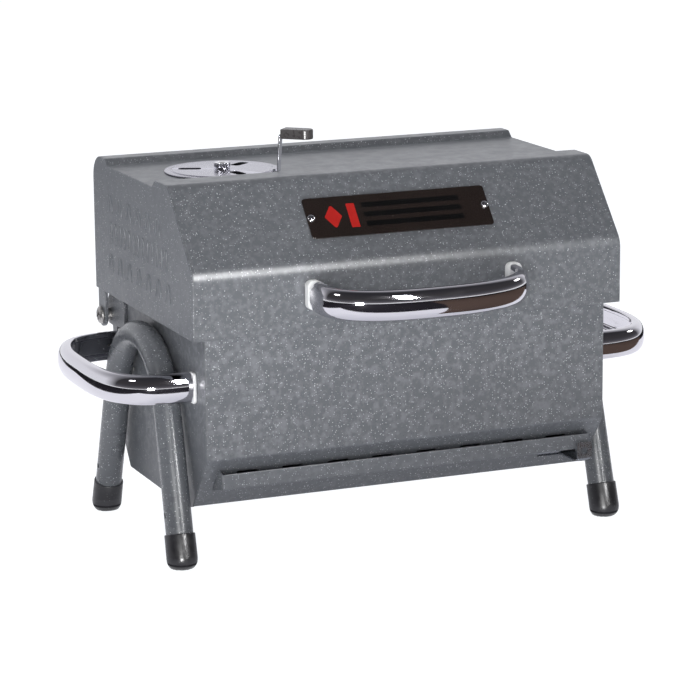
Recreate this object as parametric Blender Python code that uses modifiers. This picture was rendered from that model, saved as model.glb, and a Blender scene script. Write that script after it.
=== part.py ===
"""Portable tabletop charcoal grill: firebox on two tube legs, hinged lid with a vent, chrome handles.

Lengths below are millimetres; every mesh is made in metres. +Z is up, +X is the viewer's right
when facing the front, and -Y is the front. The feet stand on z = 0.
"""

import math

import bmesh
import bpy
from mathutils import Matrix, Vector

MM = 0.001
CLEAR = 0.3

# Overall layout: Y is measured from the middle between the feet, and Y_SHIFT centres the whole grill.
# Z is measured from a level FLOOR_Z under the feet, so that everything is lowered by it.
Y_SHIFT = 36.84
FLOOR_Z = 4.4

# Lid
LID_HALF = 210.0
LID_FRONT = -141.7
LID_BACK = 134.0
LID_BOTTOM = 218.0
LID_PLATE = 340.8
LID_RIDGE = 347.0
SHEET = 1.2
SLOPE_DEG = 48.7

# Firebox
BOX_HALF = 197.1
BOX_FRONT = -134.0
BOX_BACK = 125.0
BOX_TOP = 224.0
BOX_KNEE = 107.3
BOX_FLOOR = 55.5
CHAMFER_RUN = 39.5
END_SKIRT = 50.7

# Legs
TUBE_R = 12.5
TUBE_WALL = 1.6
ARCH_R = 71.5
ARCH_Z = 125.5
SPLAY = 0.2996
LEG_X = 209.9
LEG_LEAN = 0.018
TOE_Z = 12.4
FOOT_R = 14.2
FOOT_H = 22.9

# Lid hinge and vent
PIN_Y = 122.5
PIN_Z = 192.5
VENT_X = -122.0
VENT_Y = 18.0
VENT_R = 53.5
SLOT_DEG = 37.4

# Handles
FRONT_HALF = 98.0
FRONT_REACH = 49.5
FRONT_Z = 251.0
FRONT_DROOP = 5.0
FRONT_SPACER = (239.1, 265.5)
SIDE_HALF = 100.0
SIDE_REACH = 73.2
SIDE_Y = -6.0
SIDE_Z = 169.0
SIDE_SPACER = 3.0
FRONT_BAR_H = 28.0
SIDE_BAR_H = 27.2

for old in list(bpy.data.objects):
    bpy.data.objects.remove(old)

GRILL = bpy.data.collections.new("portable_grill")
CUTTERS = bpy.data.collections.new("cutters")
bpy.context.scene.collection.children.link(GRILL)
bpy.context.scene.collection.children.link(CUTTERS)


def material(name, colour, metallic, roughness):
    made = bpy.data.materials.new(name)
    made.use_nodes = True
    shader = made.node_tree.nodes["Principled BSDF"]
    shader.inputs["Base Color"].default_value = (*colour, 1.0)
    shader.inputs["Metallic"].default_value = metallic
    shader.inputs["Roughness"].default_value = roughness
    made.diffuse_color = (*colour, 1.0)
    return made


COAT = ("coat", (0.16, 0.17, 0.18), 0.0, 0.4)
CHROME = ("chrome", (0.8, 0.8, 0.82), 1.0, 0.08)
NICKEL = ("nickel", (0.6, 0.6, 0.65), 1.0, 0.25)
RUBBER = ("rubber", (0.02, 0.02, 0.02), 0.0, 0.6)
WHITE = ("white_spacer", (0.75, 0.75, 0.73), 0.0, 0.6)
DARK = ("dark_plate", (0.02, 0.015, 0.012), 0.0, 0.2)
PLASTIC = ("dark_plastic", (0.05, 0.04, 0.04), 0.0, 0.5)
STEEL = ("bare_steel", (0.35, 0.34, 0.32), 1.0, 0.4)


def finish_mesh(name, mesh_bm, look, place=None):
    """Turns a bmesh in millimetres into one object of the grill, its origin at place."""
    place = Vector(place) if place is not None else Vector((0.0, 0.0, 0.0))
    bmesh.ops.remove_doubles(mesh_bm, verts=mesh_bm.verts, dist=1e-4)
    for vert in mesh_bm.verts:
        vert.co = (vert.co - place) * MM
    bmesh.ops.recalc_face_normals(mesh_bm, faces=mesh_bm.faces)
    mesh = bpy.data.meshes.new(name)
    mesh_bm.to_mesh(mesh)
    mesh_bm.free()
    obj = bpy.data.objects.new(name, mesh)
    obj.location = (place + Vector((0.0, Y_SHIFT, -FLOOR_Z))) * MM
    GRILL.objects.link(obj)
    if look:
        obj.data.materials.append(material(name + "_" + look[0], *look[1:]))
    return obj


def cutter(obj):
    GRILL.objects.unlink(obj)
    CUTTERS.objects.link(obj)
    obj.hide_render = True
    obj.display_type = "WIRE"
    return obj


def cut(obj, tool, operation="DIFFERENCE"):
    step = obj.modifiers.new("cut_" + tool.name, "BOOLEAN")
    step.operation = operation
    step.object = tool
    step.solver = "EXACT"


def soften(obj, width, segments=2, angle=35):
    step = obj.modifiers.new("edges", "BEVEL")
    step.width = width * MM
    step.segments = segments
    step.limit_method = "ANGLE"
    step.angle_limit = math.radians(angle)


def fillet(points, radii, segments=6):
    """Open polyline in 2D with each inner corner rounded to its radius."""
    result = [Vector(points[0])]
    for i in range(1, len(points) - 1):
        corner = Vector(points[i])
        back = (Vector(points[i - 1]) - corner).normalized()
        ahead = (Vector(points[i + 1]) - corner).normalized()
        radius = radii[i - 1]
        half = back.angle(ahead) / 2
        if radius <= 0 or half > math.pi / 2 - 0.01:
            result.append(corner)
            continue
        reach = radius / math.tan(half)
        middle = corner + (back + ahead).normalized() * (radius / math.sin(half))
        start = corner + back * reach - middle
        end = corner + ahead * reach - middle
        turn = start.angle_signed(end)
        for k in range(segments + 1):
            angle = -turn * k / segments
            result.append(middle + Matrix.Rotation(angle, 2) @ start)
    result.append(Vector(points[-1]))
    return result


def closed_fillet(points, radii, segments=5):
    """Closed polygon in 2D with each corner rounded."""
    count = len(points)
    result = []
    for i in range(count):
        trio = [points[i - 1], points[i], points[(i + 1) % count]]
        result += fillet(trio, [radii[i]], segments)[1:-1]
    return result


def offset_line(points, distance):
    """The polyline moved sideways, to its left when distance is positive."""
    result = []
    for i, point in enumerate(points):
        before = points[i] - points[i - 1] if i > 0 else points[1] - points[0]
        after = points[i + 1] - points[i] if i < len(points) - 1 else before
        before = before.normalized()
        after = after.normalized()
        left_a = Vector((-before.y, before.x))
        left_b = Vector((-after.y, after.x))
        mean = (left_a + left_b).normalized()
        result.append(point + mean * (distance / max(0.3, mean.dot(left_a))))
    return result


def moved(grown, mesh_bm, shift):
    """Shifts the vertices that an extrusion has just made."""
    fresh = [item for item in grown["geom"] if isinstance(item, bmesh.types.BMVert)]
    bmesh.ops.translate(mesh_bm, verts=fresh, vec=shift)


def bent_sheet(name, points, thickness, x0, x1, look, place=None):
    """A sheet whose YZ profile is `points`, from x0 to x1, thickened to the profile's left."""
    outline = list(points) + offset_line(points, thickness)[::-1]
    return slab(name, outline, x0, x1, look, place)


def slab(name, outline, depth0, depth1, look, place=None, axes="YZX"):
    """A flat outline in the first two axes, extruded along the third from depth0 to depth1."""
    slots = ["XYZ".index(letter) for letter in axes]
    mesh_bm = bmesh.new()
    corners = []
    for point in outline:
        spot = Vector()
        spot[slots[0]], spot[slots[1]], spot[slots[2]] = point[0], point[1], depth0
        corners.append(mesh_bm.verts.new(spot))
    flat = mesh_bm.faces.new(corners)
    grown = bmesh.ops.extrude_face_region(mesh_bm, geom=[flat], use_keep_orig=True)
    shift = Vector()
    shift[slots[2]] = depth1 - depth0
    moved(grown, mesh_bm, shift)
    return finish_mesh(name, mesh_bm, look, place)


def box(name, low, high, look=None, place=None):
    outline = [(low[0], low[1]), (high[0], low[1]), (high[0], high[1]), (low[0], high[1])]
    return slab(name, outline, low[2], high[2], look, place, axes="XYZ")


def rounded(width, height, radius, middle=(0.0, 0.0), segments=4):
    a, b = width / 2, height / 2
    u, v = middle
    corners = [(u - a, v - b), (u + a, v - b), (u + a, v + b), (u - a, v + b)]
    return closed_fillet(corners, [radius] * 4, segments)


def frame_for(axis):
    """Rotation that takes +Z onto the axis."""
    return Vector((0.0, 0.0, 1.0)).rotation_difference(Vector(axis).normalized()).to_matrix()


def lathe(name, profile, steps, base, axis, look, place=None):
    """Profile of (radius, height) pairs turned about the axis through base."""
    mesh_bm = bmesh.new()
    row = [mesh_bm.verts.new((radius, 0.0, height)) for radius, height in profile]
    edges = [mesh_bm.edges.new(pair) for pair in zip(row, row[1:])]
    if profile[0][0] > 0 and profile[-1][0] > 0:
        edges.append(mesh_bm.edges.new((row[-1], row[0])))
    bmesh.ops.spin(
        mesh_bm,
        geom=row + edges,
        axis=(0.0, 0.0, 1.0),
        angle=2 * math.pi,
        steps=steps,
        use_merge=True,
    )
    stand = Matrix.Translation(base) @ frame_for(axis).to_4x4()
    bmesh.ops.transform(mesh_bm, matrix=stand, verts=mesh_bm.verts)
    return finish_mesh(name, mesh_bm, look, place)


def sweep(name, spots, sides, ups, section, look, place=None, hole=None):
    """Section (side, up) carried along spots. With a hole section the result is a tube open at both ends."""
    mesh_bm = bmesh.new()

    def rows_of(shape):
        rows = []
        for spot, side, up in zip(spots, sides, ups):
            rows.append([mesh_bm.verts.new(spot + side * s + up * t) for s, t in shape])
        return rows

    outer = rows_of(section)
    count = len(section)
    for low, high in zip(outer, outer[1:]):
        for i in range(count):
            j = (i + 1) % count
            mesh_bm.faces.new((low[i], low[j], high[j], high[i]))
    if hole is None:
        mesh_bm.faces.new(outer[0])
        mesh_bm.faces.new(outer[-1])
    else:
        inner = rows_of(hole)
        for low, high in zip(inner, inner[1:]):
            for i in range(count):
                j = (i + 1) % count
                mesh_bm.faces.new((low[i], high[i], high[j], low[j]))
        for out_row, in_row in ((outer[0], inner[0]), (outer[-1], inner[-1])):
            for i in range(count):
                j = (i + 1) % count
                mesh_bm.faces.new((out_row[i], out_row[j], in_row[j], in_row[i]))
    return finish_mesh(name, mesh_bm, look, place)


def circle(radius, count):
    angles = [2 * math.pi * k / count for k in range(count)]
    return [(radius * math.cos(a), radius * math.sin(a)) for a in angles]


def radial_slot(inner, outer, width, degrees, centre):
    """Rounded slot pointing away from the centre, as (X, Y) points."""
    turn = math.radians(degrees)
    middle = ((inner + outer) / 2, 0.0)
    outline = rounded(outer - inner, width, 3.0, middle, 3)
    turned = [Vector((p[0], p[1])) for p in outline]
    spin = Matrix.Rotation(turn, 2)
    return [(centre[0] + (spin @ p).x, centre[1] + (spin @ p).y) for p in turned]


def pan_screw(seat, head_r, head_h, shank_r, tip):
    """Turned profile of a pan-head screw: its head sits `seat` behind the origin, its tip is ahead."""
    return [
        (0, -seat - head_h),
        (0.7 * head_r, -seat - 0.92 * head_h),
        (head_r, -seat - 0.45 * head_h),
        (head_r, -seat),
        (shank_r, -seat),
        (shank_r, tip),
        (0, tip + 0.5),
    ]


SIDES = (("left", -1), ("right", 1))

# ---------------------------------------------------------------- lid sheets
SLOPE = math.tan(math.radians(SLOPE_DEG))
RIDGE_FRONT = -79.0
KNEE_Z = LID_RIDGE + 0.5 - SLOPE * (RIDGE_FRONT - LID_FRONT)
lid_corners = [
    (LID_BACK, LID_BOTTOM),
    (LID_BACK, LID_RIDGE),
    (97.0, LID_RIDGE),
    (90.0, LID_PLATE),
    (-37.0, LID_PLATE),
    (-45.5, LID_RIDGE + 0.5),
    (RIDGE_FRONT, LID_RIDGE + 0.5),
    (LID_FRONT, KNEE_Z),
    (LID_FRONT, LID_BOTTOM),
]
lid_line = fillet(lid_corners, [22.0, 3.5, 3.5, 4.0, 6.0, 14.0, 20.0], 5)
lid_wrap = bent_sheet("lid_wrap", lid_line, SHEET, -208.5, 208.5, COAT)

for side, sign in SIDES:
    end = slab("lid_end_" + side, lid_line, sign * 208.8, sign * LID_HALF, COAT)
    soften(end, 0.5, 1)

stud_hole = [(0, 0), (3.3, 0), (3.3, 20), (0, 20)]
stud_cut = cutter(lathe("stud_cut", stud_hole, 16, (VENT_X, VENT_Y, 330), (0, 0, 1), None))
cut(lid_wrap, stud_cut)
vent_cuts = []
for k in range(3):
    outline = radial_slot(19.5, 40.5, 10.0, SLOT_DEG + 120 * k, (VENT_X, VENT_Y))
    tool = cutter(slab("vent_cut_%d" % k, outline, 330.0, 350.0, None, axes="XYZ"))
    vent_cuts.append(tool)
    cut(lid_wrap, tool)

# ---------------------------------------------------------------- nameplate
slope_down = Vector((0.0, -math.cos(math.radians(SLOPE_DEG)), -math.sin(math.radians(SLOPE_DEG))))
slope_out = Vector((0.0, slope_down.z, -slope_down.y))
plate_y = -109.5
PLATE_T = 1.6
plate_mid = Vector((0.0, plate_y, LID_RIDGE + 0.5 - SLOPE * (RIDGE_FRONT - plate_y)))


def on_slope(mesh_obj, lift):
    """Moves a mesh drawn flat about the origin onto the sloped front, lift above the sheet."""
    turn = Matrix((Vector((1.0, 0.0, 0.0)), -slope_down, slope_out)).transposed()
    spot = plate_mid + slope_out * lift
    mesh_obj.data.transform(Matrix.Translation(spot * MM) @ turn.to_4x4())
    mesh_obj.data.update()


nameplate = slab("nameplate", rounded(179.0, 42.0, 3.0), 0.0, PLATE_T, DARK, axes="XYZ")
on_slope(nameplate, CLEAR)
for side, sign in SIDES:
    spot = plate_mid + Vector((sign * 85.5, 0.0, 0.0))
    seat = PLATE_T + 2 * CLEAR
    head = [
        (0, -4.0),
        (1.35, -4.0),
        (1.35, seat),
        (3.6, seat),
        (3.3, seat + 1.0),
        (1.8, seat + 1.7),
        (0, seat + 1.9),
    ]
    hole = [(0, -6.0), (1.65, -6.0), (1.65, 8.0), (0, 8.0)]
    hole_cut = cutter(lathe("nameplate_hole_" + side, hole, 12, spot, slope_out, None))
    cut(nameplate, hole_cut)
    cut(lid_wrap, hole_cut)
    lathe("nameplate_screw_" + side, head, 12, spot, slope_out, STEEL)

# ---------------------------------------------------------------- chrome bow handles
def bar_section(height, bulge):
    """Channel with a bulging outer face and an open inner one, as (side, up); a low bulge is boxier."""
    top = height / 2
    section = []
    for k in range(9):
        angle = math.radians(-90 + 180 * k / 8)
        section.append((-5.0 + 11.2 * abs(math.cos(angle)) ** bulge, top * math.sin(angle)))
    inner = [(-6.2, top - 0.8), (-6.2, 9.0), (-1.6, 7.6), (-1.6, -7.6), (-6.2, -9.0), (-6.2, 0.8 - top)]
    return section + inner


def bow(half, reach, power, count):
    """Points (along, out) of a rounded bow from one end to the other."""
    points = []
    for k in range(count + 1):
        angle = math.pi * k / count
        c, s = math.cos(angle), math.sin(angle)
        along = half * math.copysign(abs(c) ** (2 / power), c)
        points.append(Vector((along, reach * abs(s) ** (2 / power))))
    return points


def even_bow(half, reach, power, count, lead):
    """The bow resampled evenly, a straight lead at each end, and the outward direction at each point."""
    fine = bow(half, reach, power, 720)
    lengths = [0.0]
    for a, b in zip(fine, fine[1:]):
        lengths.append(lengths[-1] + (b - a).length)
    points = []
    i = 0
    for k in range(count + 1):
        want = lengths[-1] * k / count
        while i < len(fine) - 2 and lengths[i + 1] < want:
            i += 1
        share = (want - lengths[i]) / max(1e-9, lengths[i + 1] - lengths[i])
        points.append(fine[i].lerp(fine[i + 1], min(1.0, share)))
    points = [p + Vector((0.0, lead)) for p in points]
    points = [Vector((half, 0.0))] + points + [Vector((-half, 0.0))]
    outs = []
    last = len(points) - 1
    for k in range(last + 1):
        ahead = points[min(k + 1, last)] - points[max(k - 1, 0)]
        outs.append(Vector((ahead.y, -ahead.x)).normalized())
    outs[0] = Vector((1.0, 0.0))
    outs[-1] = Vector((-1.0, 0.0))
    return points, outs


def handle(name, half, reach, power, height, bulge, place_of, side_of, up_of, anchor):
    points, outs = even_bow(half, reach, power, 26, 2.0)
    spots = [place_of(p) for p in points]
    sides = [side_of(o) for o in outs]
    section = bar_section(height, bulge)
    return sweep(name, spots, sides, [up_of] * len(spots), section, CHROME, anchor)


droop = math.radians(FRONT_DROOP)
front_out = Vector((0.0, -math.cos(droop), -math.sin(droop)))
front_up = Vector((0.0, -math.sin(droop), math.cos(droop)))
front_seat = LID_FRONT - CLEAR - 8.4
front_base = Vector((0.0, front_seat - CLEAR - 1.5, FRONT_Z))
front_handle = handle(
    "front_handle",
    FRONT_HALF,
    FRONT_REACH - 2.0,
    2.55,
    FRONT_BAR_H,
    0.6,
    lambda p: front_base + Vector((p.x, 0.0, 0.0)) + front_out * p.y,
    lambda o: (Vector((o.x, 0.0, 0.0)) + front_out * o.y).normalized(),
    front_up,
    (0.0, LID_FRONT, FRONT_Z),
)

for side, sign in SIDES:
    # Spacer between the lid's skirt and the end of the handle.
    left, right = sign * FRONT_HALF - 6.8, sign * FRONT_HALF + 6.8
    low = [(left, FRONT_SPACER[0]), (right, FRONT_SPACER[0])]
    high = [(right, FRONT_SPACER[1]), (left, FRONT_SPACER[1])]
    outline = closed_fillet(low + high, [3.5] * 4, 4)
    spacer = slab("front_spacer_" + side, outline, front_seat, LID_FRONT - CLEAR, WHITE, axes="XZY")
    x = sign * FRONT_HALF
    bolt_hole = [(0, -10.0), (2.3, -10.0), (2.3, 25.0), (0, 25.0)]
    hole_at = (x, LID_FRONT, FRONT_Z)
    hole_cut = cutter(lathe("front_bolt_hole_" + side, bolt_hole, 12, hole_at, (0, -1, 0), None))
    cut(spacer, hole_cut)
    cut(lid_wrap, hole_cut)
    cut(front_handle, hole_cut)
    screw = pan_screw(SHEET + CLEAR, 4.3, 3.3, 2.0, 22.0)
    lathe("front_handle_screw_" + side, screw, 12, (x, LID_FRONT, FRONT_Z), (0, -1, 0), STEEL)

# ---------------------------------------------------------------- firebox sheets
box_corners = [
    (BOX_FRONT, BOX_TOP),
    (BOX_FRONT, BOX_KNEE),
    (BOX_FRONT + CHAMFER_RUN, BOX_FLOOR),
    (BOX_BACK - CHAMFER_RUN, BOX_FLOOR),
    (BOX_BACK, BOX_KNEE),
    (BOX_BACK, BOX_TOP),
]
box_line = fillet(box_corners, [4.0, 4.0, 4.0, 4.0], 4)
firebox_wrap = bent_sheet("firebox_wrap", box_line, SHEET, -195.6, 195.6, COAT)

skirt_run = (BOX_FLOOR - END_SKIRT) * CHAMFER_RUN / (BOX_KNEE - BOX_FLOOR)
end_outline = [
    (BOX_FRONT, BOX_TOP),
    (BOX_FRONT, BOX_KNEE),
    (BOX_FRONT + CHAMFER_RUN, BOX_FLOOR),
    (-76.0, END_SKIRT),
    (BOX_BACK - CHAMFER_RUN - skirt_run, END_SKIRT),
    (BOX_BACK, BOX_KNEE),
    (BOX_BACK, BOX_TOP),
]
end_outline = closed_fillet(end_outline, [0.5, 4.0, 2.0, 6.0, 3.0, 4.0, 0.5], 3)

# ---------------------------------------------------------------- air inlet in the front chamfer
chamfer_down = Vector((CHAMFER_RUN, BOX_FLOOR - BOX_KNEE)).normalized()
chamfer_in = Vector((-chamfer_down.y, chamfer_down.x))
chamfer_top = Vector((BOX_FRONT, BOX_KNEE))


def on_chamfer(along, depth):
    """Point in YZ on the front chamfer: along from its upper edge, depth inwards from its outer face."""
    return chamfer_top + chamfer_down * along + chamfer_in * depth


AIR_PITCH = 44.0
AIR_SLOTS = 8
SLOT_LOW, SLOT_HIGH = 19.0, 38.0


def chamfer_prism(name, x0, x1, along0, along1, depth0, depth1, look=None, place=None):
    outline = [
        on_chamfer(along0, depth0),
        on_chamfer(along1, depth0),
        on_chamfer(along1, depth1),
        on_chamfer(along0, depth1),
    ]
    return slab(name, outline, x0, x1, look, place)


SLIDE_AT = (0.0, -112.0, 84.0)
slide_low = SHEET + CLEAR
slide_high = slide_low + SHEET
air_slide = chamfer_prism("air_slide", -160.0, 184.0, 16.0, 44.5, slide_low, slide_high, COAT, SLIDE_AT)
for k in range(AIR_SLOTS):
    x = AIR_PITCH * (k - (AIR_SLOTS - 1) / 2)
    tool = cutter(chamfer_prism("air_cut_%d" % k, x - 10.0, x + 10.0, SLOT_LOW, SLOT_HIGH, -2.0, 8.0))
    cut(firebox_wrap, tool)
    cut(air_slide, tool)

# Tab: plate under the slide, arm out through a slot below the louvre, loop before the louvre's lower edge.
TAB_X0, TAB_X1 = 167.3, 182.5
AIR_TRAVEL = 22.0
arm_cut = cutter(chamfer_prism("arm_cut", TAB_X0 - AIR_TRAVEL - 1, TAB_X1 + 1, 45.2, 50.6, -2.0, 2.0))
cut(firebox_wrap, arm_cut)
tab_front = -138.8
tab_line = fillet(
    [
        on_chamfer(39.5, slide_high + CLEAR),
        on_chamfer(48.6, slide_high + CLEAR),
        Vector((-113.0, 69.6)),
        Vector((tab_front, 69.6)),
        Vector((tab_front, 87.2)),
    ],
    [1.0, 1.5, 3.0],
    3,
)
air_tab = bent_sheet("air_slide_tab", tab_line, SHEET, TAB_X0, TAB_X1, NICKEL, SLIDE_AT)
window = rounded(6.4, 6.0, 1.2, (174.9, 78.6), 3)
cut(air_tab, cutter(slab("tab_window", window, -142.0, -130.0, None, axes="XZY")))

guide_line = [
    on_chamfer(11.0, slide_low),
    on_chamfer(14.6, slide_low),
    on_chamfer(15.2, slide_high + CLEAR),
    on_chamfer(23.0, slide_high + CLEAR),
]
for side, sign in SIDES:
    bent_sheet("slide_guide_" + side, guide_line, SHEET, sign * 132 - 7, sign * 132 + 7, STEEL)

# Louvre: floor, upright lip and two gussets, open above.
LOUVRE_HALF = 182.8
lip_top = Vector((-134.5, 93.2))
lip_foot = Vector((-134.5, 79.6))
heel = on_chamfer(43.5, -CLEAR)
outline = [on_chamfer(14.0, -CLEAR), lip_top, lip_foot, heel]
air_louvre = slab("air_louvre", outline, -LOUVRE_HALF, LOUVRE_HALF, COAT)
floor_run = (heel - lip_foot).normalized()
start_y = lip_foot.x + SHEET
start_z = lip_foot.y + SHEET * floor_run.y / floor_run.x + SHEET / floor_run.x
start = Vector((start_y, start_z))
far = start + floor_run * 60.0
hollow = [start, far, far + Vector((0.0, 60.0)), Vector((start_y, 140.0))]
cut(air_louvre, cutter(slab("louvre_cut", hollow, -LOUVRE_HALF + SHEET, LOUVRE_HALF - SHEET, None)))

# ---------------------------------------------------------------- legs and feet
leg_dir = Vector((SPLAY, -1.0)).normalized()


def leg_path():
    """The arch in (Y, Z): from the rear foot up over the top to the front foot."""
    angle = math.atan(SPLAY)
    tangent = Vector((ARCH_R * math.cos(angle), ARCH_Z + ARCH_R * math.sin(angle)))
    reach = (tangent.y - TOE_Z) / -leg_dir.y
    foot = tangent + leg_dir * reach
    points = [foot, foot.lerp(tangent, 0.5)]
    for k in range(16):
        turn = angle + (math.pi - 2 * angle) * k / 15
        points.append(Vector((ARCH_R * math.cos(turn), ARCH_Z + ARCH_R * math.sin(turn))))
    points += [Vector((-points[1].x, points[1].y)), Vector((-foot.x, foot.y))]
    return points


def leg_x(sign, z):
    return sign * (LEG_X + (ARCH_Z + ARCH_R - z) * LEG_LEAN)


arch = leg_path()
for side, sign in SIDES:
    lean = Vector((sign * -1.0, 0.0, -LEG_LEAN)).normalized()
    spots = [Vector((leg_x(sign, p.y), p.x, p.y)) for p in arch]
    alongs = []
    for i in range(len(spots)):
        alongs.append((spots[min(i + 1, len(spots) - 1)] - spots[max(i - 1, 0)]).normalized())
    ins = [(lean - a * lean.dot(a)).normalized() for a in alongs]
    ups = [a.cross(b) for a, b in zip(alongs, ins)]
    outside, inside = circle(TUBE_R, 18), circle(TUBE_R - TUBE_WALL, 18)
    leg = sweep("leg_" + side, spots, ins, ups, outside, COAT, hole=inside)
    for end, place in (("rear", 1), ("front", -1)):
        axis = (spots[1] - spots[0]) if place == 1 else (spots[-2] - spots[-1])
        axis.normalize()
        toe = spots[0] if place == 1 else spots[-1]
        hole = [(0, 0), (2.6, 0), (2.6, 20), (0, 20)]
        spot = toe + axis * 40.4
        out = Vector((sign, 0.0, 0.0))
        cut(leg, cutter(lathe("drain_%s_%s" % (end, side), hole, 12, spot, out, None)))
        # Rubber foot: cup over the tube end, rounded below and cut level at the floor.
        cup = [
            (0, -11.0),
            (7.0, -10.6),
            (11.0, -8.8),
            (13.4, -5.0),
            (FOOT_R, 1.0),
            (FOOT_R - 0.3, FOOT_H),
            (TUBE_R + CLEAR, FOOT_H),
            (TUBE_R + CLEAR, -CLEAR),
            (0, -CLEAR),
        ]
        foot = lathe("foot_%s_%s" % (end, side), cup, 22, toe, axis, RUBBER, (toe.x, toe.y, FLOOR_Z))
        low = (toe.x - 40, toe.y - 40, FLOOR_Z - 40)
        high = (toe.x + 40, toe.y + 40, FLOOR_Z)
        cut(foot, cutter(box("floor_cut_%s_%s" % (end, side), low, high)))

# ---------------------------------------------------------------- firebox ends, their holes and fastenings
LEG_BOLT_Z = 150.0
bolt_y = math.sqrt(ARCH_R**2 - (LEG_BOLT_Z - ARCH_Z) ** 2)
hinge_outline = [
    (80.0, 184.4),
    (102.0, 184.4),
    (103.0, 179.3),
    (115.5, 179.3),
    (115.5, 183.0),
    (131.5, 183.0),
    (131.5, 203.0),
    (124.0, 213.0),
    (80.0, 213.0),
]
for side, sign in SIDES:
    panel = slab("firebox_end_" + side, end_outline, sign * (BOX_HALF - SHEET), sign * BOX_HALF, COAT)
    leg = bpy.data.objects["leg_" + side]
    inner_face = BOX_HALF - SHEET - CLEAR

    for end, place in (("rear", 1), ("front", -1)):
        spot = Vector((sign * BOX_HALF, place * bolt_y, LEG_BOLT_Z))
        out = Vector((sign, 0.0, 0.0))
        hole = [(0, -8), (2.8, -8), (2.8, 4.5), (0, 4.5)]
        hole_cut = cutter(lathe("leg_hole_%s_%s" % (end, side), hole, 12, spot, out, None))
        cut(panel, hole_cut)
        cut(leg, hole_cut)
        bolt = pan_screw(SHEET + CLEAR, 5.5, 3.2, 2.5, 3.6)
        lathe("leg_bolt_%s_%s" % (end, side), bolt, 12, spot, out, STEEL)

    # Side handle with its spacers and screws.
    seat = sign * (BOX_HALF + CLEAR)
    outer = sign * (BOX_HALF + CLEAR + SIDE_SPACER)
    base = Vector((outer + sign * CLEAR, SIDE_Y, SIDE_Z))
    out = Vector((sign, 0.0, 0.0))
    grip = handle(
        "side_handle_" + side,
        SIDE_HALF,
        SIDE_REACH - 2.0,
        3.0,
        SIDE_BAR_H,
        0.6,
        lambda p, b=base, o=out: b + o * p.y + Vector((0.0, p.x, 0.0)),
        lambda d, o=out: (o * d.y + Vector((0.0, d.x, 0.0))).normalized(),
        Vector((0.0, 0.0, 1.0)),
        (base.x, SIDE_Y, SIDE_Z),
    )
    for end, place in (("rear", 1), ("front", -1)):
        middle = (SIDE_Y + place * SIDE_HALF, SIDE_Z)
        outline = rounded(13.2, 28.4, 3.5, middle, 4)
        spacer = slab("side_spacer_%s_%s" % (end, side), outline, seat, outer, WHITE)
        spot = Vector((sign * BOX_HALF, middle[0], SIDE_Z))
        hole = [(0, -8), (2.3, -8), (2.3, 19.3), (0, 19.3)]
        hole_cut = cutter(lathe("side_hole_%s_%s" % (end, side), hole, 12, spot, out, None))
        for target in (panel, spacer, grip):
            cut(target, hole_cut)
        screw = pan_screw(SHEET + CLEAR, 4.3, 3.3, 2.0, 16.3)
        lathe("side_screw_%s_%s" % (end, side), screw, 12, spot, out, STEEL)

    # Hinge: leaf on the firebox end, bracket inside the lid's end, bush between, one screw through all.
    outline = closed_fillet(hinge_outline, [2.0, 0.8, 0.8, 2.0, 0.8, 7.0, 7.0, 3.0, 5.0], 3)
    leaf_in = BOX_HALF + CLEAR
    leaf = slab("hinge_leaf_" + side, outline, sign * leaf_in, sign * (leaf_in + 3.0), COAT)
    pin = Vector((0.0, PIN_Y, PIN_Z))
    thread = [(0, 0), (3.3, 0), (3.3, 30), (0, 30)]
    pin_cut = cutter(lathe("pin_cut_" + side, thread, 16, pin + out * 190.0, out, None))
    cut(leaf, pin_cut)
    bracket_in, bracket_out = 205.4, 208.5
    outline = [(PIN_Y + 9.7, 236.0), (PIN_Y + 9.7, PIN_Z + 3.0)]
    for k in range(1, 13):
        angle = math.pi * k / 12
        outline.append((PIN_Y + 10.8 * math.cos(angle), PIN_Z - 10.8 * math.sin(angle)))
    outline += [(PIN_Y - 10.8, 232.0), (PIN_Y - 7.0, 236.0)]
    bracket_mid = pin + out * (bracket_in + bracket_out) / 2
    bracket_name = "hinge_bracket_" + side
    bracket = slab(bracket_name, outline, sign * bracket_in, sign * bracket_out, COAT, bracket_mid)
    cut(bracket, pin_cut)
    bush_in = leaf_in + 3.0 + CLEAR
    bush = [(3.5, bush_in), (6.2, bush_in), (6.2, bracket_in - CLEAR), (3.5, bracket_in - CLEAR)]
    lathe("hinge_bush_" + side, bush, 18, pin, out, STEEL)
    head = bracket_out + CLEAR
    screw = [
        (0, leaf_in + 0.3),
        (3.0, leaf_in + 0.3),
        (3.0, head),
        (8.6, head),
        (8.6, head + 1.6),
        (7.2, head + 3.2),
        (4.0, head + 4.1),
        (0, head + 4.4),
    ]
    pivot = lathe("hinge_screw_" + side, screw, 20, pin, out, STEEL)
    for turn in (0.0, 90.0):
        blade = rounded(9.0, 1.6, 0.3, (0.0, 0.0), 1)
        spin = Matrix.Rotation(math.radians(turn + 35), 2)
        outline = [spin @ Vector(p) for p in blade]
        outline = [(PIN_Y + p.x, PIN_Z + p.y) for p in outline]
        cross_in, cross_out = sign * (head + 2.4), sign * (head + 8.0)
        cut(pivot, cutter(slab("cross_%d_%s" % (turn, side), outline, cross_in, cross_out, None)))

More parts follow.
